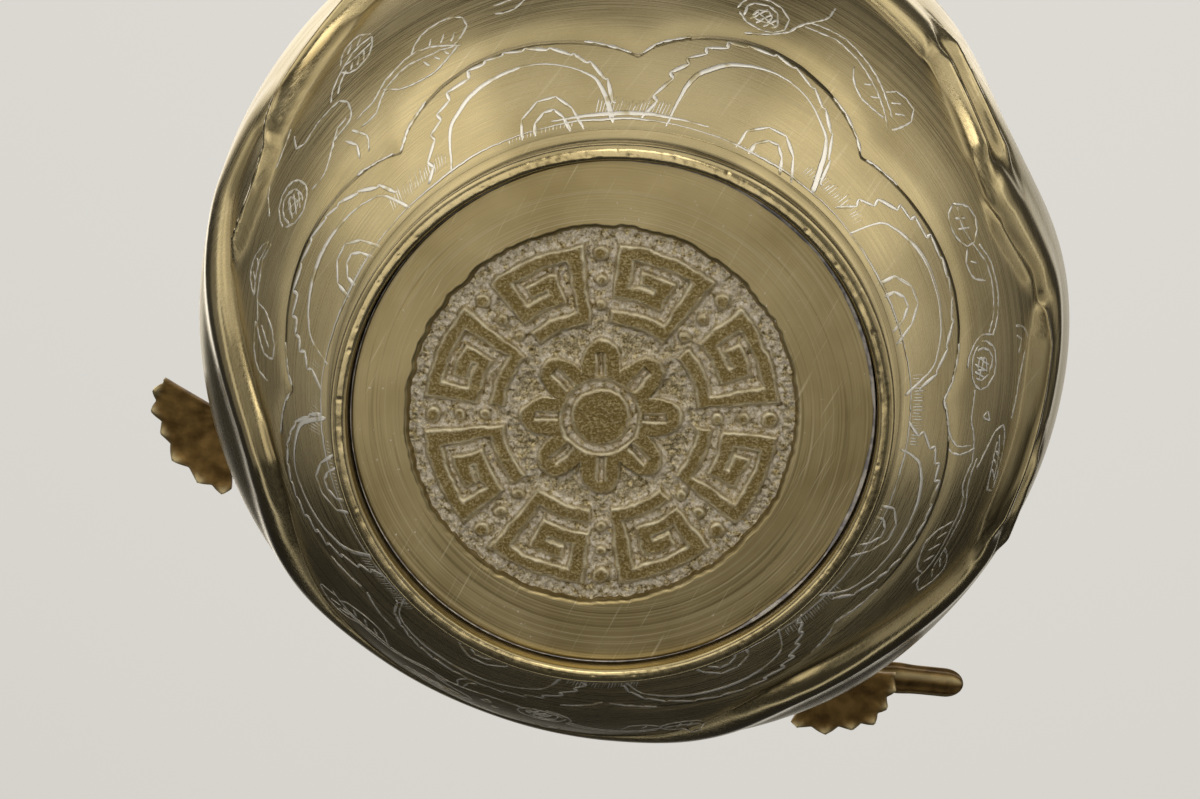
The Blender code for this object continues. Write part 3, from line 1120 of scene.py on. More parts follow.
@dataclass
class Engraver:
    """Lays bright cuts along strokes on a surface, each with a furrow between two raised burrs."""

    surface: Callable[[Array, Array, Array | float], Array]
    body: Body
    seed: int = 7
    step: float = 0.5
    tap: tuple[float, float] = (0.9, 2.2)
    # Each point of a cut's section: its place across, its height and how bright it is, where 0 is a burr
    # painted dark as the cut's shadow.
    section: tuple[tuple[float, float, float], ...] = (
        (-0.6, -0.04, 0),
        (-0.36, 0.07, 1),
        (0.0, 0.02, 1),
        (0.36, 0.07, 1),
        (0.6, -0.04, 0),
    )
    points: list[Array] = field(default_factory=list)
    faces: list[tuple[int, ...]] = field(default_factory=list)
    count: int = 0

    def __post_init__(self) -> None:
        """Seeds the engraver's wobble."""
        self.random = np.random.default_rng(self.seed)

    def cut(self, stroke: Stroke, line: Line = Line.PLAIN, way: Way = Way.SWEPT) -> None:
        """Adds one cut.

        Args:
            stroke: (azimuth, height in millimetres) pairs.
            line: Its width.
            way: How the tool was led.
        """
        given = np.array(stroke, float)
        reach = self.body.radius(given[:, 1].mean() * MM) / MM
        flat = given * (math.radians(1) * reach, 1)
        if way is Way.SWEPT:
            path, swell = self.swept(flat)
        else:
            path, swell = self.punched(self.stepped(flat) if way is Way.TAPPED else flat)
        azimuth = np.degrees(path[:, 0] / reach)
        height = path[:, 1] * MM
        floor = self.surface(azimuth, height, 0.0)
        above = self.surface(azimuth, height, 1 * MM)
        normal = unit(above - floor)
        side = unit(np.cross(np.gradient(floor, axis=0), normal))
        width = (line.value * MM * swell)[:, None]
        depth = MM * min(1.0, line.value / 0.4)
        rings = [floor + side * width * x + normal * h * depth for x, h, _ in self.section]
        self.add(np.stack(rings, axis=1))

    def swept(self, flat: Array) -> tuple[Array, Array]:
        """A smooth line that swells and thins slowly, with pointed ends.

        Args:
            flat: The stroke's points, in millimetres on the flattened surface.

        Returns:
            The path's points, and how wide the cut is at each.
        """
        path = smooth_path(flat, self.step)
        wobble = np.cumsum(self.random.normal(0, 0.03, path.shape), axis=0)
        path = path + wobble - np.linspace(0, 1, len(path))[:, None] * wobble[-1]
        swell = 0.8 + 0.4 * np.sin(np.arange(len(path)) * 0.13 + self.random.uniform(0, 6))
        swell[[0, -1]] = 0.25
        return path, swell

    def stepped(self, flat: Array) -> Array:
        """Breaks a smooth line into the short straight steps of a tapped chisel.

        Args:
            flat: The stroke's points, in millimetres on the flattened surface.

        Returns:
            The corners of the steps.
        """
        path = smooth_path(flat, 0.15)
        corners = [path[0]]
        wanted = self.random.uniform(*self.tap)
        for point in path:
            if np.hypot(*(point - corners[-1])) >= wanted:
                corners.append(point + self.random.normal(0, 0.06, 2))
                wanted = self.random.uniform(*self.tap)
        return np.array([*corners, path[-1]])

    def punched(self, corners: Array) -> tuple[Array, Array]:
        """Straight punch marks from corner to corner, each one a spindle.

        Args:
            corners: In millimetres on the flattened surface.

        Returns:
            The path's points, and how wide the cut is at each.
        """
        path, swell = [], []
        for a, b in zip(corners, corners[1:]):
            weight = self.random.uniform(0.75, 1.25) * min(1.0, 0.35 + np.hypot(*(b - a)) / 1.8)
            for share, width in ((0.03, 0.5), (0.3, 1.0), (0.7, 1.1), (0.97, 0.55)):
                path.append(a + (b - a) * share)
                swell.append(width * weight)
        return np.array(path), np.array(swell)

    def add(self, rings: Array) -> None:
        """Joins the sections of one cut into a closed strip.

        Args:
            rings: The points by place along the cut, then by place across it.
        """
        sections, sides, _ = rings.shape
        first = self.count
        self.points.append(rings.reshape(-1, 3))
        self.count += sections * sides
        for i in range(sections - 1):
            for j in range(sides):
                a = first + i * sides + j
                b = first + i * sides + (j + 1) % sides
                self.faces.append((a, b, b + sides, a + sides))
        self.faces.append(tuple(range(first + sides - 1, first - 1, -1)))
        last = first + (sections - 1) * sides
        self.faces.append(tuple(range(last, last + sides)))

    def build(self, name: str) -> None:
        """Makes one piece of all the cuts so far and starts afresh.

        Args:
            name: The piece's name.
        """
        bpy.ops.object.select_all(action="DESELECT")
        mesh = bpy.data.meshes.new(name)
        mesh.from_pydata(np.vstack(self.points), [], self.faces)
        piece = bpy.data.objects.new(name, mesh)
        bpy.context.scene.collection.objects.link(piece)
        bpy.context.view_layer.objects.active = piece
        piece.select_set(True)
        # The outer points of each section carry the painted shadow beside the cut.
        bright = [share for _, _, share in self.section]
        paint(piece, "bright", np.tile(bright, self.count // len(bright)))
        close_up(1e-9)
        self.points, self.faces, self.count = [], [], 0
        settle(piece, CUT, Slot.GILT)


# Sprays drawn with the graver on the bowl. Each stroke is in (azimuth, height in millimetres).
TWIN_LEAF: tuple[Stroke, ...] = (
    ((-11, -3), (-8, -3.3), (-5, -1), (0, 0.3), (5, -0.3), (9, -1)),
    ((-11, -1.5), (-7, -1), (-3, 1), (3, 1.6), (9, -1.2)),
    ((-5, -0.6), (-2, -2.6), (3, -3.4), (6, -2.4), (8.5, -1)),
    ((1, 1.6), (3, 4), (7, 4.8), (10, 4), (10.5, 1.5), (8, -0.6)),
    ((2.6, -0.6), (3.4, -1.8)),
    ((4.4, -0.7), (5.2, -1.8)),
    ((6.2, -0.8), (6.8, -1.7)),
    ((4.2, 1.4), (4.8, 2.5)),
    ((6, 0.8), (6.8, 2.1)),
    ((7.6, 0.2), (8.6, 1.5)),
)
BLOOM: tuple[Stroke, ...] = (
    (
        (-4, -0.4), (-3.2, 1.8), (-0.6, 2.9), (2.2, 2.4), (3.8, 0.4),
        (3, -1.8), (0.6, -2.8), (-2, -2.4), (-3.6, -1),
    ),
    ((-2.8, -1.4), (-2.6, 0.6), (-1, 2), (1, 1.8)),
    ((0.2, 1.9), (1.8, 1), (2.4, -0.6), (1.6, -1.8)),
    ((-1.6, -0.9), (-0.6, 0.9), (0.8, 0.8), (1.2, -0.7), (-0.2, -1.6), (-1.6, -0.9)),
    ((-1.8, -1.6), (0.2, 1.2)),
    ((-0.8, -2), (1.2, 0.8)),
    ((0.4, -2.1), (2, 0.1)),
    ((-1.4, 0.2), (1.8, -1.2)),
)
SPRAY_LEFT: tuple[Stroke, ...] = (
    ((222, 19.3), (223, 21), (221.5, 23.3)),
    ((224, 19), (225.2, 21), (223.5, 23.7)),
    ((212, 23), (215, 22.5), (218, 23.6), (219.5, 25), (224, 25.5), (225, 28), (224, 30), (219, 30.5)),
    ((219, 24.2), (221, 25.9), (223.6, 26.4)),
    ((219, 30.5), (215.5, 30), (213.8, 31.5), (215, 33.3)),
    ((203.5, 29), (205, 30.6), (206, 32), (209, 33), (212.5, 33.9), (215, 35.2)),
    ((200.5, 26), (197, 26.8), (192, 26), (188, 25)),
    ((200.5, 26.8), (196, 27.6), (191.5, 27)),
    ((191.5, 27), (193, 28.8), (195.5, 29.4), (198.5, 28.6), (200.5, 26.8)),
    ((193.6, 27.4), (194.8, 28.6)),
    ((195.8, 27.5), (197, 28.5)),
    ((191, 25.6), (190, 22.6), (186.5, 20.2), (183.4, 20.4), (184, 23), (188, 25.4)),
    ((188, 25.6), (183, 25.4), (180, 23.6), (179.4, 21.6)),
    ((185, 21.4), (188, 23.8)),
    ((222.6, 31.2), (224, 33.4), (226.5, 35)),
    ((224.2, 31.4), (225.4, 33), (227, 34.2)),
    ((226, 34.8), (227.4, 33), (230, 32.8), (232, 34.6), (232.4, 36.6), (229, 36.4), (226, 34.8)),
    ((226.4, 36), (227.6, 38.4), (230.4, 39.2), (232.4, 37.2)),
    ((226.6, 35.4), (229.6, 35), (232, 35.4)),
    ((227.6, 33.4), (228.4, 34.7)),
    ((228.8, 33.2), (229.6, 34.6)),
    ((230, 33.2), (230.6, 34.8)),
    ((228, 37), (229.2, 38.4)),
    ((229.8, 37), (230.8, 38.2)),
)
SPRAY_TOP: tuple[Stroke, ...] = (
    ((289, 25), (294, 27), (297, 31), (299.5, 34), (300, 37)),
    ((297, 30.4), (303, 31.2), (309, 29), (314, 25.6), (315.6, 24)),
    ((297.6, 31.6), (303, 32.4), (309.6, 30.2), (315, 26.2)),
    ((306, 29), (307, 26.6), (310, 25), (314, 25.2)),
    ((316, 24.6), (317.6, 28), (317, 30.4), (314, 31), (312, 29)),
    ((308.6, 27.4), (309.8, 28.4)),
    ((310.4, 26.4), (311.6, 27.4)),
    ((313.6, 28.2), (315, 29.6)),
    ((315, 27.2), (316.4, 28.4)),
)
SPRAY_RIGHT: tuple[Stroke, ...] = (
    ((-22, 26.4), (-17, 28), (-11, 27), (-8, 25.2)),
    ((-21.4, 27.6), (-17, 29), (-10.4, 28), (-7.4, 26)),
    ((-29, 26), (-28, 24), (-24.6, 23.6), (-22, 25.4), (-23, 28), (-26.4, 29), (-29, 26)),
    ((-28.2, 26.6), (-25.4, 25.6), (-22.6, 26.2)),
    ((-22, 25), (-20, 23.6), (-17, 24.4), (-16, 26.6)),
    ((-27, 25), (-26, 27)),
    ((-25.4, 24.6), (-24.4, 27)),
    ((-20, 24.6), (-19, 26)),
    ((-4, 20), (-6.4, 20.8), (-8.2, 23), (-7.6, 26)),
    ((4.4, 25), (5.4, 24), (6.6, 25), (5.6, 26.2), (4.4, 25)),
    ((2.8, 27.4), (3.6, 26.7), (4.4, 27.4), (3.6, 28.3), (2.8, 27.4)),
    ((6, 17.2), (9, 19), (9.6, 22.4)),
    ((9, 17.4), (11, 20), (10.2, 23.4)),
    ((0, 21.6), (5, 21.4), (8, 22.6), (12, 23.6), (16, 23), (20, 24.8), (25, 25), (31, 25.3), (35, 24)),
    ((12, 24.6), (16.4, 24.2), (20.4, 25.9), (26, 26.1), (31.6, 26.4)),
    ((23, 24.6), (25, 21.6), (28, 20.7), (32, 22.4), (33, 25)),
    ((28, 26), (30, 29), (33, 29.8), (36.6, 27), (34, 24.6)),
    ((25, 24.4), (26.4, 22.8)),
    ((27.2, 24.4), (28.6, 22.4)),
    ((29.4, 24.6), (30.8, 23)),
    ((30, 26.8), (31.6, 28.4)),
    ((32, 26.6), (33.6, 28)),
    ((14, 25.2), (8.4, 27.5), (7, 29), (10, 31), (18, 32)),
    ((10, 29), (14, 29.2), (18, 30.4), (18.4, 32)),
    ((9, 29.2), (12, 30.2), (16.6, 31.2)),
    ((11.6, 29.4), (13.4, 31.2)),
    ((13, 29.4), (14.8, 31.4)),
    ((14.6, 29.6), (16.4, 31.6)),
    ((-7, 32), (-6, 34.4), (-4, 35.4), (-2, 34), (1, 33), (7, 31.8)),
    ((-5.6, 32), (-4.6, 33.4), (-2.8, 32.4)),
)


def moved(strokes: Iterable[Stroke], turn: float, rise: float) -> list[Stroke]:
    """Copies of strokes, shifted round and up."""
    return [tuple((azimuth + turn, height + rise) for azimuth, height in stroke) for stroke in strokes]


@dataclass
class BowlEngraving:
    """The engraver's work on the bowl: petal lines round the foot and flower sprays above them.

    Heights and lengths are in millimetres, and turns in degrees.
    """

    relief: Relief
    graver: Engraver
    ring_height: float = 8.9
    arch_spans: tuple[tuple[float, float], ...] = ((6.3, 12.3), (3.6, 10.6))
    chisel: tuple[float, float] = (2.0, 3.8)
    jog: tuple[float, float] = (0.25, 0.6)
    jag: float = 0.46
    mark_step: float = 0.08
    edge_gap: float = 0.9
    crown_gap: float = 3.7
    arc_foot: float = 7.9
    arch_foot: float = 7.6
    arch_places: tuple[float, ...] = (-1, -0.9, -0.35, 0.2, 0.65, 1)
    comb_reach: float = 7.0
    comb_pitch: float = 0.62
    comb_foot: float = 9.2
    crown_comb: tuple[float, float] = (7.75, 8.5)
    blooms: Stroke = ((208, 25.2), (291, 29.2), (-3.4, 23.6), (102.6, 28.6))
    twin_leaves: Stroke = ((236, 26), (262, 31), (276, 37))
    back_spray: tuple[float, float] = (106, 5)

    def petal_lines(self, petal: Petal, after: Petal) -> None:
        """The chisel line, the arc and the small double arch of one petal.

        Args:
            petal: The petal.
            after: The next one round.
        """
        end = after.cusp + (360 if after.cusp < petal.cusp else 0)
        span = end - petal.cusp
        outline = ((0.05, 0), (0.1, 0.36), (0.16, 0.62), (0.26, 0.87), (0.4, 0.98), (0.53, 1), (0.68, 0.95))
        outline += ((0.8, 0.8), (0.88, 0.58), (0.94, 0.02))
        low = self.ring_height - 0.6
        chain = []
        for share, rise in outline:
            azimuth = petal.cusp + share * span
            top = float(self.relief.petal_edge(np.array([azimuth]))[0]) / MM - self.edge_gap
            chain.append((azimuth, low + rise * (top - low)))
        self.graver.cut(self.chiselled(chain), Line.PLAIN, Way.CORNERED)
        border = np.arange(petal.cusp - 9, petal.cusp + 8, 0.7)
        heights = self.relief.petal_edge(border) / MM - 0.2
        self.graver.cut(list(zip(border, heights)), Line.FINE, Way.TAPPED)
        left, right = petal.cusp + 0.16 * span, end - 0.08 * span
        rise = petal.crown_height - self.crown_gap - self.arc_foot
        arc = []
        for share in np.linspace(0, 1, 13):
            height = self.arc_foot + rise * math.sqrt(max(0.0, 1 - (2 * share - 1) ** 2))
            arc.append((left + share * (right - left), height))
        self.graver.cut(arc, Line.BOLD)
        low = self.arch_foot
        for half, top in self.arch_spans:
            haunch = 0.4 * low + 0.6 * top
            rises = (low, haunch, top, top + 0.1, haunch, low - 0.4)
            arch = [(petal.arch + x * half, rise) for x, rise in zip(self.arch_places, rises)]
            self.graver.cut(arch, Line.FINE, Way.CORNERED)

    def chiselled(self, chain: Stroke) -> Stroke:
        """Turns a line into the zigzag of a walked chisel: a long slant, then a short jog back.

        Args:
            chain: (azimuth, height in millimetres) pairs.

        Returns:
            The zigzag's corners, in the same form.
        """
        reach = self.relief.body.radius(np.array([15 * MM]))[0] / MM * math.radians(1)
        dense = smooth_path([(a * reach, h) for a, h in chain], self.mark_step)
        draw = self.graver.random.uniform
        corners = []
        index, hand = 1, 1
        while index < len(dense) - 1:
            slant = self.jag * (1.25 if index < 0.42 * len(dense) else 0.5)
            way = dense[index + 1] - dense[index - 1]
            side = np.array([-way[1], way[0]]) / max(np.hypot(*way), 1e-9)
            corners.append(dense[index] + hand * slant * draw(0.6, 1.1) * side)
            index += int(draw(*(self.chisel if hand > 0 else self.jog)) / self.mark_step)
            hand = -hand
        return [(x / reach, h) for x, h in corners]

    def combs(self) -> None:
        """Fine chatter marks of the tool on both sides of each cusp, and under each crown."""
        for petal in self.relief.petals:
            start, end = petal.cusp - self.comb_reach, petal.cusp + self.comb_reach
            for azimuth in np.arange(start, end, self.comb_pitch):
                low = self.comb_foot + 0.25 * self.graver.random.random()
                high = low + 1.4 + 0.9 * self.graver.random.random()
                self.graver.cut(((azimuth, low), (azimuth + 0.7, high)), Line.TICK)
            low, high = self.crown_comb
            for azimuth in np.arange(petal.crown - 4, petal.crown + 9, 0.75):
                self.graver.cut(((azimuth, low), (azimuth + 0.3, high)), Line.TICK)

    def build(self) -> None:
        """Cuts the petals, then the sprays, as two pieces."""
        for petal, after in zip(self.relief.petals, self.relief.petals[1:] + self.relief.petals[:1]):
            self.petal_lines(petal, after)
        ring = [(a, self.ring_height + 0.35 * math.sin(math.radians(3 * a))) for a in range(0, 361, 6)]
        self.graver.cut(ring, Line.LEAF)
        self.graver.cut(ring[43:49], Line.BOLD)
        self.combs()
        self.graver.build("engraved_petal_lines")
        strokes = [*SPRAY_LEFT, *SPRAY_TOP, *SPRAY_RIGHT]
        for turn, rise in self.blooms:
            strokes += moved(BLOOM, turn, rise)
        for turn, rise in self.twin_leaves:
            strokes += moved(TWIN_LEAF, turn, rise)
        strokes += moved(SPRAY_RIGHT, *self.back_spray)
        for stroke in strokes:
            self.graver.cut(stroke, Line.LEAF, Way.TAPPED)
        self.graver.build("engraved_bowl_sprays")


# The foot and the base.


@dataclass
class Foot:
    """The foot ring and the bead of solder inside it."""

    body: Body
    rim_width: float = 2.5 * MM
    outer_round: float = 1.2 * MM
    inner_round: float = 0.75 * MM
    round_points: int = 8
    flat_points: int = 2
    waist: float = 1.0 * MM
    flare: float = 2.1 * MM
    # Depths of the outer side's points below the ring's top, in millimetres.
    side_steps: tuple[float, ...] = (0, 0.05, 0.3, 0.6, 0.9, 1.2, 1.5, 1.8, 2.3, 3.0, 4.0, 5.0)
    wear_marks: Lumps = ((0.015, 1.6, 1.3), (0.04, 9, 2.1))
    pit_marks: Lumps = ((0.6, 0.7, 4.3), (0.3, 9, 2.1))
    solder_lumps: Lumps = ((0.25, 13, 3.3), (0.08, 4, 1.3))
    solder_azimuth: float = 345.0
    solder_grid: tuple[int, int] = (240, 7)
    columns: int = 960

    def section(self) -> Array:
        """The ring's closed section, from the top of its outer side down and round.

        Returns:
            (radius, height) rows.
        """
        outer, inner = self.body.foot_radius, self.body.foot_radius - self.rim_width
        top = self.body.foot_height
        levels = top - np.array(self.side_steps) * MM
        drawn_in = self.waist * smoothstep(self.outer_round, 0.5 * top, levels)
        drawn_in *= 1 - np.clip(1 - (top - levels) / self.flare, 0, 1) ** 2
        side = np.column_stack([self.body.radius(levels) - drawn_in, levels])
        turns = np.linspace(0, math.pi / 2, self.round_points)
        near, far = 1 - np.cos(turns), 1 - np.sin(turns)
        outer_edge = (outer, 0) + self.outer_round * np.column_stack([-near, far])
        inner_edge = (inner, 0) + self.inner_round * np.column_stack([far, near])
        flat = np.linspace(outer - self.outer_round, inner + self.inner_round, self.flat_points + 2)[1:-1]
        back = [(inner, 0.35 * top), (inner, 0.6 * top), (inner, top)]
        return np.vstack([side, outer_edge, np.column_stack([flat, 0 * flat]), inner_edge, back])

    def build(self) -> None:
        """Spins the ring, wears its rim, and runs the solder."""
        section = self.section()
        ring, row, azimuth = turned_grid("foot_ring_turned", self.columns, len(section))
        radius, height = section[row, 0], section[row, 1]
        points = round_axis(radius, azimuth, height)
        nicks = np.clip(ripple(points, 0.9 * MM, 4.3) - 0.75, 0, 1)
        wear = MM * (uneven(points, self.wear_marks) + 0.09 * nicks)
        low = 1 - smoothstep(0.8 * MM, 2.4 * MM, height)
        points[:, 2] += np.clip(wear, -0.02 * MM, None) * low
        inner_side = radius < self.body.foot_radius - 0.9 * self.rim_width
        # The ring's inner side is painted darker deeper into the recess as shade; the pits in its rim are
        # dark as wear.
        shade_and_dirt = np.where(inner_side, smoothstep(0.5 * MM, 2.6 * MM, height) * 0.12, 0.0)
        pits = np.clip(uneven(points, self.pit_marks) - 0.25, 0, 0.5)
        shade_and_dirt = np.maximum(shade_and_dirt, np.where(height < 0.12 * MM, pits, 0))
        shape(ring, self.body.out_of_round(points), crease=shade_and_dirt, rubbed=0.5 * low)
        settle(ring, POLISHED, Slot.GILT, "foot_ring")
        self.run_solder()

    def run_solder(self) -> None:
        """The bead between the ring and the base disc, uneven as it ran."""
        low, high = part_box("base_solder")
        outer = high.x
        sides = self.solder_grid[1]
        bead, row, azimuth = turned_grid("base_solder_bead", *self.solder_grid)
        lumps = 0.6 + uneven(round_axis(outer, azimuth, 0 * azimuth), self.solder_lumps)
        heavy = 0.3 + 0.7 * smoothstep(-0.1, 0.9, np.cos(np.radians(azimuth - self.solder_azimuth)))
        size = (high.z - low.z) * np.clip(lumps * heavy - 0.08, 0.06, 0.6)
        angle = np.pi / 2 * row / (sides - 2)
        corner = row == sides - 1
        radius = np.where(corner, outer, outer - 1.2 * size * np.cos(angle))
        height = np.where(corner, high.z, high.z - size * np.sin(angle))
        shape(bead, self.body.out_of_round(round_axis(radius, azimuth, height)))
        settle(bead, SOLDER, Slot.SOLDER, "base_solder")


@dataclass
class Base:
    """The turned disc in the foot, with a sunk roundel cast in its middle."""

    body: Body
    under: float = 3.2 * MM
    thick: float = 2.5 * MM
    roundel_radius: float = 29.3 * MM
    depth: float = 1.1 * MM
    roundel_shift: tuple[float, float] = (-1.6 * MM, 0.2 * MM)
    ring_rows: int = 26
    columns: int = 480
    grid: int = 290
    # The fret and the rosette, in millimetres.
    fret_stroke: float = 2.35
    fret_path: tuple[tuple[float, float], ...] = (
        (-4.9, -4.9), (4.9, -4.9), (4.9, 4.9), (-4.9, 4.9),
        (-4.9, -1.1), (1.0, -1.1), (1.0, 1.5), (-1.5, 1.5),
    )
    fret_count: int = 8
    fret_radius: float = 20.6
    rosette: tuple[float, float] = (7.6, 4.6)
    rosette_eye: float = 4.6
    rosette_slot: tuple[float, float] = (6.4, 10)
    slot_half: float = 0.45
    # Distances from the middle, and sizes, of the seeds between two frets, in millimetres.
    seeds: tuple[tuple[float, float], ...] = ((25.2, 1.2), (21.2, 0.9), (17.4, 0.8))
    ragged_edge: Lumps = ((0.2, 3.2, 5.1), (0.13, 1.1, 0.3))
    waver_x: Lumps = ((0.16, 2.6, 0.9), (0.07, 0.9, 2.9))
    waver_y: Lumps = ((0.16, 2.9, 4.2), (0.07, 0.9, 7.2))
    sand: Lumps = ((0.1, 1.15, 1.1), (0.09, 0.62, 6.1), (0.07, 4.5, 3.1))
    dishing: Lumps = ((0.05, 2.0, 8.3),)

    def build(self) -> None:
        """Makes the ring of the disc, then the roundel that fills its hole."""
        self.build_ring()
        self.build_roundel()

    def ragged(self, azimuth: Array) -> Array:
        """The roundel's uneven cast edge, in metres about its radius."""
        around = round_axis(self.roundel_radius, azimuth, 0 * azimuth)
        return MM * uneven(around, self.ragged_edge)

    def build_ring(self) -> None:
        """The flat lathe-faced ring round the roundel."""
        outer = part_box("base_plate")[1].x
        flat = np.linspace(0, 1, self.ring_rows)
        shares = np.concatenate([[0, 0], flat, [1, 0, 0]])
        starts = MM * np.concatenate([[-0.45, -0.05], 0 * flat + 0.12, [0, -0.6, -0.6]])
        well = self.under + self.depth
        back = self.under + self.thick
        hole = [well + 0.2 * MM, self.under + 0.22 * MM]
        heights = np.array([*hole, *(0 * flat + self.under), back, back, well + 0.5 * MM])
        # Painted shade: the two rows that step down into the roundel's well, and the disc's outer edge
        # beside the foot ring's wall.
        shade_and_dirt = np.concatenate([[0.3, 0.3], 0.45 * smoothstep(0.93, 1.0, flat), [0, 0, 0]])
        ring, row, azimuth = turned_grid("base_disc", self.columns, len(shares))
        inner = self.roundel_radius + self.ragged(azimuth) + starts[row]
        radius = inner + (outer - inner) * shares[row]
        near = 1 - smoothstep(self.roundel_radius + 2 * MM, outer - 1 * MM, radius)
        shift = near[:, None] * (*self.roundel_shift, 0.0)
        points = round_axis(radius, azimuth, heights[row]) + shift
        shape(ring, self.body.out_of_round(points), crease=shade_and_dirt[row])
        settle(ring, TURNED, Slot.TURNED, "base_plate")

    def motif(self, points: Array) -> Array:
        """How far points, in millimetres from the roundel's middle, lie inside its strokes.

        Args:
            points: (x, y) rows.

        Returns:
            Distances to the nearest stroke's edge in millimetres, negative inside.
        """
        radius = np.hypot(points[:, 0], points[:, 1])
        turn = np.arctan2(points[:, 1], points[:, 0])
        step = 2 * math.pi / self.fret_count
        petal = radius - (self.rosette[0] + self.rosette[1] * np.abs(np.cos(math.pi / step * turn)) ** 0.75)
        found = np.maximum(petal, 0.6 - np.abs(radius - self.rosette_eye - 0.5))
        apart = np.abs((turn + step / 2) % step - step / 2)
        slotted = (radius > self.rosette_slot[0]) & (radius < self.rosette_slot[1])
        found = np.maximum(found, np.where(slotted, self.slot_half - np.sin(apart) * radius, -9.0))
        for index in range(self.fret_count):
            found = np.minimum(found, self.fret(points, (index + 0.5) * step))
            way = np.array([math.cos(index * step), math.sin(index * step)])
            for reach, size in self.seeds:
                found = np.minimum(found, np.linalg.norm(points - reach * way, axis=1) - size)
        return found

    def fret(self, points: Array, middle: float) -> Array:
        """Distance to one squared spiral, bent round the middle.

        Args:
            points: (x, y) rows in millimetres.
            middle: The angle of the spiral's own middle.

        Returns:
            Distances to its edge in millimetres, negative inside.
        """
        turn = np.arctan2(points[:, 1], points[:, 0]) - middle
        across = ((turn + math.pi) % (2 * math.pi) - math.pi) * self.fret_radius
        local = np.column_stack([across, np.hypot(points[:, 0], points[:, 1]) - self.fret_radius])
        found = np.full(len(points), 99.0)
        for a, b in zip(self.fret_path, self.fret_path[1:]):
            start, way = np.array(a), np.subtract(b, a)
            share = np.clip((local - start) @ way / (way @ way), 0, 1)
            gap = np.abs(local - start - share[:, None] * way).max(axis=1)
            found = np.minimum(found, gap)
        return found - self.fret_stroke / 2

    def build_roundel(self) -> None:
        """A cast ground with flat strokes standing on it, closed at its back."""
        reach = self.roundel_radius + 0.5 * MM
        piece, across, along = flat_grid("base_roundel", self.grid, self.grid)
        x, y = 2 * across - 1, 2 * along - 1
        wide = np.abs(x) > np.abs(y)
        size = np.where(wide, x, y)
        lean = np.where(wide, y, x) / np.where(np.abs(size) < 1e-9, 1, size) * (math.pi / 4)
        plan_x = np.where(wide, size * np.cos(lean), size * np.sin(lean)) * reach
        plan_y = np.where(wide, size * np.sin(lean), size * np.cos(lean)) * reach
        points = np.column_stack([plan_x, plan_y, np.zeros(len(x))])
        warp = np.column_stack([uneven(points, lumps) for lumps in (self.waver_x, self.waver_y)])
        inside = self.motif(points[:, :2] / MM + warp)
        raised = 1 - smoothstep(-0.2, 0.4, inside)
        rough, dome = uneven(points, self.sand), uneven(points, self.dishing)
        sunk = self.depth / MM * (1 - raised) + rough * (1 - raised) + (0.06 + 0.5 * dome) * raised
        worn = np.exp(-(((inside + 0.1) / 0.26) ** 2)) * np.clip(0.85 + dome * 6, 0, 1)
        points[:, 2] = self.under + sunk * MM
        points[:, :2] += self.roundel_shift
        rim = smoothstep(self.roundel_radius - 2.6 * MM, self.roundel_radius, np.hypot(plan_x, plan_y))
        chalk = np.clip(1.1 * np.exp(-np.clip(inside - 0.2, 0, 9) / 1.1) + 0.5 * rim + 0.05, 0, 1)
        chalk *= 1 - smoothstep(0.25, 0.6, raised)
        shape(piece, self.body.out_of_round(points), 1e-8, raised=raised, worn=worn, chalk=chalk)
        self.close_back()
        settle(piece, CHALKED, Slot.TURNED)

    def close_back(self) -> None:
        """Draws up the rim of the roundel, which is the active piece, and closes its back."""
        bpy.ops.object.mode_set(mode="EDIT")
        bpy.ops.mesh.select_mode(type="EDGE")
        bpy.ops.mesh.select_all(action="DESELECT")
        bpy.ops.mesh.select_non_manifold()
        bpy.ops.mesh.extrude_region_move(TRANSFORM_OT_translate={"value": (0, 0, 1.0 * MM)})
        bpy.ops.mesh.edge_face_add()
        bpy.ops.mesh.select_all(action="SELECT")
        bpy.ops.mesh.normals_make_consistent(inside=False)
        bpy.ops.object.mode_set(mode="OBJECT")


# Shoulder, neck and lip.


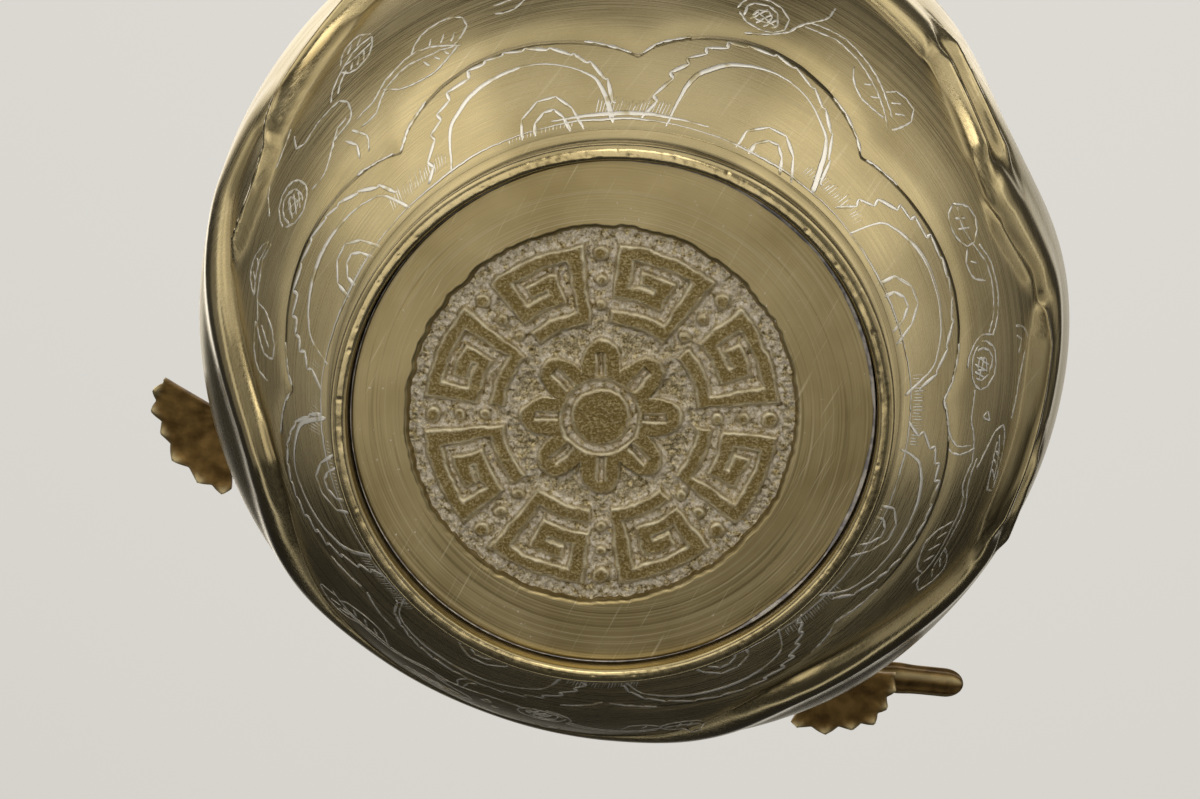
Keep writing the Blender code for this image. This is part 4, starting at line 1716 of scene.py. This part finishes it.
@dataclass
class Upper:
    """The shoulder, the neck and the rolled lip, with rings and lappets cut in them."""

    body: Body
    relief: Relief
    columns: int = 360
    shoulder_rows: int = 70
    neck_rows: int = 90
    inner_rows: int = 12
    # Each turned bead's height, half-width and rise, in millimetres.
    beads: tuple[tuple[float, float, float], ...] = (
        (127.5, 1.6, 0.9),
        (139.0, 2.4, 1.7),
        (143.4, 1.2, 0.8),
        (223.0, 1.6, 0.8),
    )
    hammer_marks: Lumps = ((0.05, 15, 2.7),)
    lip_marks: Lumps = ((0.0008, 12, 1.9),)
    lip_sides: int = 28
    cut_rings: tuple[float, ...] = (121.5, 123.4, 215.5, 217.2)
    # Each ring of lappets: its feet and points, in millimetres, and how many there are.
    lappet_rings: tuple[tuple[float, float, int], ...] = ((146.0, 182.0, 8), (212.0, 194.0, 12))
    flower_places: Stroke = ((20, 60), (140, 58), (262, 60))

    def turned_lift(self, height: Array) -> Array:
        """How far the turned beads stand out.

        Args:
            height: In metres.

        Returns:
            The lift in metres.
        """
        lift = np.zeros(len(height))
        for centre, half, rise in self.beads:
            share = np.clip(np.abs(height / MM - centre) / half, 0, 1)
            lift = np.maximum(lift, rise * MM * np.sqrt(1 - share**2))
        return lift

    def wall(self, name: str, node: str, low: float, high: float, rows: int) -> None:
        """One turned shell between two heights.

        Args:
            name: The piece's name.
            node: The node that it stands for.
            low: Its lower end in metres.
            high: Its upper end in metres.
            rows: How many rows its outside has.
        """
        middle = np.linspace(high, low, rows - 2)[1:-1]
        outer = np.array([high, high - 0.05 * MM, *middle, low + 0.05 * MM, low])
        levels = np.concatenate([outer, np.linspace(low, high, self.inner_rows)])
        # Painted shade on the steep flanks of the beads.
        slope = np.abs(np.gradient(self.turned_lift(outer)))
        shade_and_grime = 0.4 * np.clip(slope / (0.3 * MM), 0, 1)
        piece, row, azimuth = turned_grid(name, self.columns, rows + self.inner_rows)
        height = levels[row]
        outside = row < rows
        lift = self.turned_lift(height) + self.relief.level(azimuth, height)
        lift = lift + MM * uneven(self.body.place(azimuth, height, 0.0), self.hammer_marks)
        # The inside of the wall is painted dark as shade.
        shade_and_dirt = np.where(outside, shade_and_grime[np.minimum(row, rows - 1)], 0.6)
        points = self.body.place(azimuth, height, np.where(outside, lift, -self.body.wall))
        points[:, 2] = np.clip(points[:, 2], low, high)
        shape(piece, points, crease=shade_and_dirt)
        settle(piece, POLISHED, Slot.GILT, node)

    def lip(self) -> None:
        """The rolled lip, a little uneven from the hammer."""
        low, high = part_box("mouth_rim")
        thick = (high.z - low.z) / 2
        middle, level = high.x - thick, (high.z + low.z) / 2
        piece, row, azimuth = turned_grid("mouth_lip", self.columns, self.lip_sides)
        angle = 2 * np.pi * row / self.lip_sides
        points = round_axis(middle + thick * np.cos(angle), azimuth, level + thick * np.sin(angle))
        shape(piece, points * (1 + uneven(points, self.lip_marks)[:, None]))
        settle(piece, POLISHED, Slot.GILT, "mouth_rim")

    def surface(self, azimuth: Array, height: Array, lift: Array | float) -> Array:
        """Points a lift off the upper walls."""
        raised = self.turned_lift(height) + self.relief.level(azimuth, height)
        return self.body.place(azimuth, height, raised + lift)

    def lappets(self, graver: Engraver, low: float, high: float, count: int) -> None:
        """A ring of pointed lappets, each drawn twice, with a spine.

        Args:
            graver: Who cuts them.
            low: Their feet in millimetres.
            high: Their points in millimetres.
            count: How many.
        """
        span = 360 / count
        for index in range(count):
            middle = (index + 0.5) * span
            for shrink in (1.0, 0.72):
                half, top = span / 2 * shrink, low + (high - low) * shrink
                outline = [(-1, 0), (-0.98, 0.3), (-0.85, 0.6), (-0.5, 0.85), (0, 1)]
                outline += [(-x, y) for x, y in outline[-2::-1]]
                stroke = [(middle + x * half, low + y * (top - low)) for x, y in outline]
                graver.cut(stroke, Line.PLAIN if shrink == 1.0 else Line.FINE)
            graver.cut(((middle, low + 1), (middle, low + 0.55 * (high - low))), Line.FINE)

    def build(self) -> None:
        """The two walls, the lip, and the cuts on them."""
        body = self.body
        self.wall("shoulder_wall", "shoulder", body.belly_height, body.neck_height, self.shoulder_rows)
        self.wall("neck_wall", "neck", body.neck_height, body.mouth_height, self.neck_rows)
        self.lip()
        graver = Engraver(self.surface, body, seed=11)
        for height in self.cut_rings:
            graver.cut([(a, height) for a in range(0, 361, 5)], Line.PLAIN)
        for lappet_ring in self.lappet_rings:
            self.lappets(graver, *lappet_ring)
        graver.build("engraved_neck_lines")
        for turn, rise in self.flower_places:
            strokes = moved(SPRAY_RIGHT, turn, rise) + moved(BLOOM, turn - 3.4, rise + 23.6)
            for stroke in strokes + moved(TWIN_LEAF, turn + 44, rise + 27):
                graver.cut(stroke, Line.LEAF, Way.TAPPED)
        graver.build("engraved_shoulder_sprays")


# Soldered sprays.


@dataclass(frozen=True)
class Leaf:
    """A fan leaf: where its stalk is soldered, its length, and its heading, lift and swing.

    Lengths and heights are in millimetres, and angles in degrees.
    """

    name: str
    azimuth: float
    height: float
    length: float
    heading: float
    lift: float
    swing: float = 0.0


@dataclass
class Spray:
    """A branch, three fan leaves and a blossom, cast apart and soldered to the shoulder.

    The branch's stations are (azimuth, height, distance off the body), and the blossom is at (azimuth,
    height), in degrees and millimetres.
    """

    name: str
    body: Body
    stations: tuple[tuple[float, float, float], ...]
    leaves: tuple[Leaf, ...]
    blossom: tuple[float, float]
    branch_radius: float = 2.6 * MM
    leaf_thickness: float = 1.3 * MM
    leaf_clear: float = 1.1
    blossom_clear: float = 0.3
    fan: float = math.radians(54)
    teeth: int = 6
    blossom_radius: float = 7.5 * MM
    blossom_height: float = 6.2 * MM
    branch_grid: tuple[int, int] = (40, 96)
    leaf_grid: tuple[int, int] = (72, 22)
    blossom_grid: tuple[int, int] = (100, 30)
    stalk_share: float = 0.16
    face_share: float = 0.72
    seed: float = 0.0

    def on_body(self, azimuth: float, height: float, clear: float) -> tuple[Vector, Vector]:
        """A point off the body.

        Args:
            azimuth: In degrees.
            height: In millimetres.
            clear: Its distance off the body in millimetres.

        Returns:
            The point in metres, and the body's normal there.
        """
        level = np.array([height * MM])
        out, up = self.body.normal(level)
        turn = math.radians(azimuth)
        spoke = Vector((math.cos(turn), math.sin(turn), 0))
        normal = spoke * out[0] + Vector((0, 0, up[0]))
        foot = spoke * self.body.radius(level)[0] + Vector((0, 0, level[0]))
        return foot + normal * clear * MM, normal

    def build(self) -> None:
        """Casts the branch, the leaves and the blossom."""
        self.build_branch()
        for leaf in self.leaves:
            self.build_leaf(leaf)
        self.build_blossom()

    def build_branch(self) -> None:
        """A fluted stem with knots, rounded at both ends."""
        route = self.route()
        along = np.linspace(0, 1, len(route))
        piece, across, even = flat_grid(f"branch_{self.name}_cast", *self.branch_grid)
        # The rows crowd together at the stem's ends, which are round.
        share = (1 - np.cos(np.pi * even)) / 2
        centre, ahead, behind = (
            np.column_stack([np.interp(share + step, along, part) for part in route.T])
            for step in (0, 0.01, -0.01)
        )
        way = unit(ahead - behind)
        side = unit(np.cross(way, unit(centre * (1, 1, 0))))
        out = np.cross(side, way)
        ends = np.sqrt(np.clip(1 - np.clip((np.abs(2 * share - 1) - 0.93) / 0.07, 0, 1) ** 2, 0, 1))
        knots = 1 + 0.1 * np.exp(-(((share * 5 + self.seed) % 1 - 0.5) / 0.1) ** 2)
        angle = 2 * np.pi * across
        fluting = np.cos(4 * angle + 1.1)
        flutes = 1 - 0.14 * np.clip(fluting, 0, 1) ** 2
        radius = self.branch_radius * ends * np.minimum(knots * flutes, 1.08)
        rim = np.clip(-fluting, 0, 1) ** 2 * 0.45
        ring = side * np.cos(angle)[:, None] + out * np.sin(angle)[:, None]
        shape(piece, centre + ring * radius[:, None], 1e-5, rim=rim)
        settle(piece, CAST, Slot.CAST, f"branch_{self.name}")

    def route(self) -> Array:
        """The branch's centre line, as the frame has it."""
        points = np.array([self.on_body(*station)[0] for station in self.stations])
        return smooth_path(points, fewest=10)

    def build_leaf(self, leaf: Leaf) -> None:
        """A cupped fan with teeth and a rib to each of them, thickened to a casting.

        Args:
            leaf: The leaf.
        """
        root, normal = self.on_body(leaf.azimuth, leaf.height, self.leaf_clear)
        turn = math.radians(leaf.azimuth)
        along = Vector((-math.sin(turn), math.cos(turn), 0))
        up = normal.cross(along)
        heading, lift = math.radians(leaf.heading), math.radians(leaf.lift)
        flat = along * math.cos(heading) + up * math.sin(heading)
        axis = flat * math.cos(lift) + normal * math.sin(lift)
        face = normal * math.cos(lift) - flat * math.sin(lift)
        axis = Matrix.Rotation(math.radians(leaf.swing), 3, face) @ axis
        seat = Matrix.Translation(root) @ Matrix((axis, face.cross(axis), face)).transposed().to_4x4()
        half_stalk = 1.2 * MM
        piece, across, share = flat_grid(f"leaf_{leaf.name}_{self.name}_cast", *self.leaf_grid)
        side = 2 * across - 1
        angle = self.fan * side
        spaced = across + 0.035 * np.sin(2 * np.pi * across + 4 * self.seed)
        phase = (spaced * self.teeth) % 1
        tooth = 1 - 0.085 * np.abs(2 * phase - 1) ** 0.9
        sway = 0.035 * np.sin(7.3 * across + 5 * self.seed) + 0.02 * np.sin(17 * across + self.seed)
        reach = leaf.length * MM * (0.97 - 0.04 * side**2) * tooth * (1 + sway)
        blade = np.clip((share - self.stalk_share) / (1 - self.stalk_share), 0, 1)
        stalk = np.minimum(share / self.stalk_share, 1)
        start_x, start_y = 2.4 * MM * stalk - 0.9 * MM * (1 - stalk), half_stalk * side
        x = start_x + (reach * np.cos(angle) - start_x) * blade
        y = start_y + (reach * np.sin(angle) - start_y) * blade
        tip = np.cos(np.pi * (phase - 0.5)) ** 3 * smoothstep(0.86, 1.0, share)
        rib = np.cos(2 * np.pi * (phase - 0.5))
        wave = 0.35 * MM * np.sin(2.6 * side + self.seed) * blade**2
        z = wave + 0.04 * MM * rib * blade - 0.4 * MM * tip
        rim = np.clip(0.7 * tip**2 + 0.25 * smoothstep(0.95, 1.0, share), 0, 1)
        shape(piece, seated(seat, np.column_stack([x, y, z])), 1e-8, rim=rim)
        shell = piece.modifiers.new("thickness", "SOLIDIFY")
        shell.thickness = self.leaf_thickness
        shell.offset = 0
        rounding = piece.modifiers.new("worn edge", "BEVEL")
        rounding.width = 0.25 * MM
        rounding.segments = 2
        rounding.angle_limit = math.radians(50)
        for modifier in ("thickness", "worn edge"):
            bpy.ops.object.modifier_apply(modifier=modifier)
        bpy.ops.object.shade_smooth_by_angle(angle=math.radians(40))
        settle(piece, CAST, Slot.CAST, f"leaf_{leaf.name}_{self.name}")

    def build_blossom(self) -> None:
        """Five cupped petals round a seeded eye, flat at the back."""
        foot, normal = self.on_body(*self.blossom, self.blossom_clear)
        seat = Matrix.Translation(foot) @ normal.to_track_quat("Z", "Y").to_matrix().to_4x4()
        piece, across, share = flat_grid(f"blossom_{self.name}_cast", *self.blossom_grid)
        angle = 2 * np.pi * across
        front = share <= self.face_share
        petal = np.abs(np.cos(2.5 * angle + self.seed))
        reach = self.blossom_radius * (0.66 + 0.34 * petal**0.6)
        top = np.clip(share / self.face_share, 0, 1)
        under = np.clip((share - self.face_share) / (1 - self.face_share), 0, 1)
        radius = reach * np.where(front, top, 1 - under)
        eye = np.clip(1 - radius / (2.2 * MM), 0, 1)
        seeds = 0.25 * MM * np.cos(9 * angle) * np.exp(-(((radius - 2.1 * MM) / (0.6 * MM)) ** 2))
        cup = 0.62 * np.sqrt(np.clip(1 - top**3, 0, 1)) + 0.12 * np.sin(np.pi * top)
        cleft = 0.9 * MM * (1 - petal) ** 2 * top
        height = self.blossom_height * cup - cleft + seeds + 1.3 * MM * np.sqrt(eye)
        height = np.where(front, np.maximum(height, 0.05 * MM), 0)
        rim = np.where(front, smoothstep(0.7, 1.0, top) * 0.8 + 0.4 * eye, 0)
        shape(piece, seated(seat, round_axis(radius, 360 * across, height)), 1e-6, rim=rim)
        settle(piece, CAST, Slot.CAST, f"blossom_{self.name}")


def sprays(body: Body) -> list[Spray]:
    """The three sprays, at the frame's own places.

    Args:
        body: What they are soldered to.

    Returns:
        The sprays, not yet built.
    """
    return [
        Spray(
            "left",
            body,
            ((203, 110, 3.2), (195, 100, 3.1), (186, 91.5, 3.1), (174, 83, 3.1), (162, 77.2, 3.5)),
            (
                Leaf("low", 163.6, 72.5, 15.9, -90, 76, -14),
                Leaf("middle", 186.5, 96.5, 18, 125, 16),
                Leaf("high", 191, 91.5, 18, -25, 16),
            ),
            (188, 114.5),
            seed=0.2,
        ),
        Spray(
            "right",
            body,
            ((92, 106, 3.2), (84, 96, 3.1), (75, 86, 3.4), (63.3, 76.2, 6.6), (50.6, 73.3, 22.4)),
            (
                Leaf("low", 62.5, 72.5, 14.7, -90, 71),
                Leaf("middle", 76, 91.5, 18, 125, 16),
                Leaf("high", 82, 88.5, 18, -25, 16),
            ),
            (80, 110),
            seed=1.1,
        ),
        Spray(
            "front",
            body,
            ((299, 106, 3.2), (291, 96, 3.1), (282, 86, 3.1), (271, 77.5, 3.6), (257, 74.5, 13.6)),
            (
                Leaf("low", 272, 72.5, 13.2, -90, 75),
                Leaf("middle", 283, 91.5, 18, 125, 16),
                Leaf("high", 289, 88.5, 18, -25, 16),
            ),
            (287, 110),
            seed=2.3,
        ),
    ]


# The studio.


@dataclass(frozen=True)
class PaleFloor(Finish):
    """Matt pale card, seen only from above."""

    colour: str = "#E4E1DB"
    glow: float = 0.5
    sweep: tuple[float, float] = (0.35, 2.2)

    def shade(self, tree: Tree, place: Socket) -> Socket:
        """Card on its upper side, lit evenly into the distance, and nothing on its lower.

        Args:
            tree: The material's nodes.
            place: The piece's own coordinates.

        Returns:
            The shader.
        """
        card = add_node(tree, "BsdfDiffuse", {"Color": self.colour})
        even = add_node(tree, "Emission", {"Color": self.colour})
        reach = add_node(tree, "VectorMath", {0: place}, operation="LENGTH")
        near, far = self.sweep
        distant = add_node(tree, "MapRange", {0: reach, 1: near, 2: far, 3: self.glow, 4: 1.0})
        lit = add_node(tree, "MixShader", {0: distant, 1: card, 2: even})
        clear = add_node(tree, "BsdfTransparent")
        below = add_node(tree, "NewGeometry", output="Backfacing")
        return add_node(tree, "MixShader", {0: below, 1: lit, 2: clear})


@dataclass(frozen=True)
class Softbox:
    """A soft lamp: its place, size and power."""

    name: str
    place: tuple[float, float, float]
    size: tuple[float, float]
    power: float
    on_floor: bool = False
    colour: str = "#FFF8EC"


@dataclass
class Studio:
    """Camera, lamps, floor and surroundings."""

    lens: float = 85.0
    sensor: float = 36.0
    camera_place: tuple[float, float, float] = (0.02476, -0.11929, -0.40295)
    camera_right: tuple[float, float, float] = (0.99789, 0.0, 0.065)
    camera_up: tuple[float, float, float] = (-0.01791, -0.96128, 0.275)
    camera_back: tuple[float, float, float] = (0.06248, -0.27558, -0.95925)
    target: tuple[float, float, float] = (0.0, 0.0, 0.05)
    floor_size: float = 80.0
    lamps: tuple[Softbox, ...] = (
        Softbox("front", (-0.15, -1.15, -0.45), (2.4, 0.9), 4.3),
        Softbox("left_front", (-0.95, -0.75, -0.05), (0.9, 0.9), 1.5),
        Softbox("right_front", (0.95, -0.75, -0.05), (0.9, 0.9), 1.7),
        Softbox("left", (-1.15, 0.1, 0.15), (1.1, 0.9), 0.5),
        Softbox("right", (1.15, 0.1, 0.1), (1.1, 0.9), 0.75),
        Softbox("low_left", (-1.0, 0.0, -0.55), (1.0, 0.8), 0.5),
        Softbox("low_right", (1.0, 0.1, -0.55), (1.0, 0.8), 0.7),
        Softbox("below", (-0.22, 0.0, -1.2), (0.7, 0.7), 1.8),
        Softbox("below_front", (0.0, -0.66, -1.12), (0.5, 0.5), 2.6),
        Softbox("overhead", (-0.4, -0.6, 1.9), (2.6, 2.6), 20.0, on_floor=True),
    )
    pale_room: tuple[tuple[float, str], ...] = (
        (0.0, "#000000"),
        (0.47, "#000000"),
        (0.485, "#DBD8D2"),
        (0.55, "#DBD8D2"),
        (0.575, "#000000"),
        (0.89, "#000000"),
        (0.93, "#D4D1CB"),
        (1.0, "#DEDBD5"),
    )
    grey_room: tuple[tuple[float, str], ...] = (
        (0.0, "#D8D5CF"),
        (0.35, "#BBB8B2"),
        (0.5, "#A8A59F"),
        (0.65, "#93908B"),
        (0.88, "#7F7C78"),
        (0.93, "#000000"),
    )
    room_front: tuple[float, float] = (-0.6, 0.4)
    room_back: tuple[float, float] = (0.55, 0.1)

    def build(self) -> None:
        """Sets up the view, the light and the floor."""
        self.add_camera()
        floor = self.add_floor()
        for lamp in self.lamps:
            self.add_lamp(lamp, floor)
        self.add_world()
        bpy.context.scene.view_settings.view_transform = "Standard"

    def add_camera(self) -> None:
        """A short telephoto below the foot, as the photograph was taken."""
        data = bpy.data.cameras.new("camera")
        data.lens, data.sensor_width = self.lens, self.sensor
        data.clip_start = 0.01
        camera = bpy.data.objects.new("camera", data)
        columns = [Vector(v) for v in (self.camera_right, self.camera_up, self.camera_back)]
        turn = Matrix(columns).transposed().to_4x4()
        camera.matrix_world = Matrix.Translation(self.camera_place) @ turn
        bpy.context.scene.collection.objects.link(camera)
        bpy.context.scene.camera = camera

    def add_lamp(self, lamp: Softbox, floor: bpy.types.Collection) -> None:
        """One soft rectangle of light, aimed at the vase.

        Args:
            lamp: The lamp.
            floor: The group that a low lamp leaves out, because its edge would show there.
        """
        data = bpy.data.lights.new(lamp.name, "AREA")
        data.shape = "RECTANGLE"
        data.size, data.size_y = lamp.size
        data.energy = lamp.power
        data.color = linear(lamp.colour)[:3]
        made = bpy.data.objects.new(lamp.name, data)
        made.location = lamp.place
        made.rotation_euler = (Vector(self.target) - made.location).to_track_quat("-Z", "Y").to_euler()
        made.visible_camera = False
        if not lamp.on_floor:
            made.light_linking.receiver_collection = floor
        bpy.context.scene.collection.objects.link(made)

    def add_world(self) -> None:
        """A pale room, grey where no view of the vase looks past it."""
        world = bpy.data.worlds.new("studio")
        bpy.context.scene.world = world
        world.use_nodes = True
        tree = world.node_tree
        tree.nodes.clear()
        way = add_node(tree, "TexCoord", output="Generated")
        rise = add_node(tree, "SeparateXYZ", {0: way}, output="Z")
        share = add_node(tree, "MapRange", {0: rise, 1: -1.0})
        front = add_node(tree, "SeparateXYZ", {0: way}, output="Y")
        (near, bright), (far, dim) = self.room_front, self.room_back
        pale = {"Color": self.add_ramp(tree, share, self.pale_room), "Strength": 1.0}
        grey = {"Color": self.add_ramp(tree, share, self.grey_room)}
        grey["Strength"] = add_node(tree, "MapRange", {0: front, 1: near, 2: far, 3: bright, 4: dim})
        parts = [add_node(tree, "Background", part) for part in (pale, grey)]
        room = add_node(tree, "AddShader", dict(enumerate(parts)))
        add_node(tree, "OutputWorld", {"Surface": room})

    def add_ramp(self, tree: Tree, share: Socket, colours: tuple[tuple[float, str], ...]) -> Socket:
        """Colours from the room's bottom to its top.

        Args:
            tree: The world's node tree.
            share: How high a direction looks, from 0 to 1.
            colours: Shares and their colours.

        Returns:
            The colour of each direction.
        """
        ramp = add_node(tree, "ValToRGB", {0: share})
        stops = ramp.node.color_ramp.elements
        while len(stops) < len(colours):
            stops.new(0.5)
        for stop, (place, colour) in zip(stops, colours):
            stop.position, stop.color = place, linear(colour)
        return ramp

    def add_floor(self) -> bpy.types.Collection:
        """A pale floor under the foot that hides nothing from below.

        Returns:
            A group that tells a lamp to leave the floor out.
        """
        bpy.ops.object.select_all(action="DESELECT")
        bpy.ops.mesh.primitive_plane_add(size=self.floor_size)
        floor = bpy.context.object
        floor.name = "floor"
        floor.data.materials.append(PaleFloor("pale_card").material())
        floor.visible_diffuse = floor.visible_glossy = floor.visible_transmission = False
        floor.visible_shadow = False
        left_out = bpy.data.collections.new("floor_left_out")
        left_out.objects.link(floor)
        left_out.collection_objects[0].light_linking.link_state = "EXCLUDE"
        return left_out


def main() -> None:
    """Builds the studio, then the vase from its foot up."""
    logging.basicConfig(level=logging.INFO, format="%(name)s %(message)s")
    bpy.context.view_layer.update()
    Studio().build()
    body = Body.from_frame()
    relief = Relief(body)
    Foot(body).build()
    Base(body).build()
    Bowl(body, relief).build()
    BowlEngraving(relief, Engraver(relief.place, body)).build()
    Upper(body, relief).build()
    for spray in sprays(body):
        spray.build()


if __name__ == "__main__":
    main()
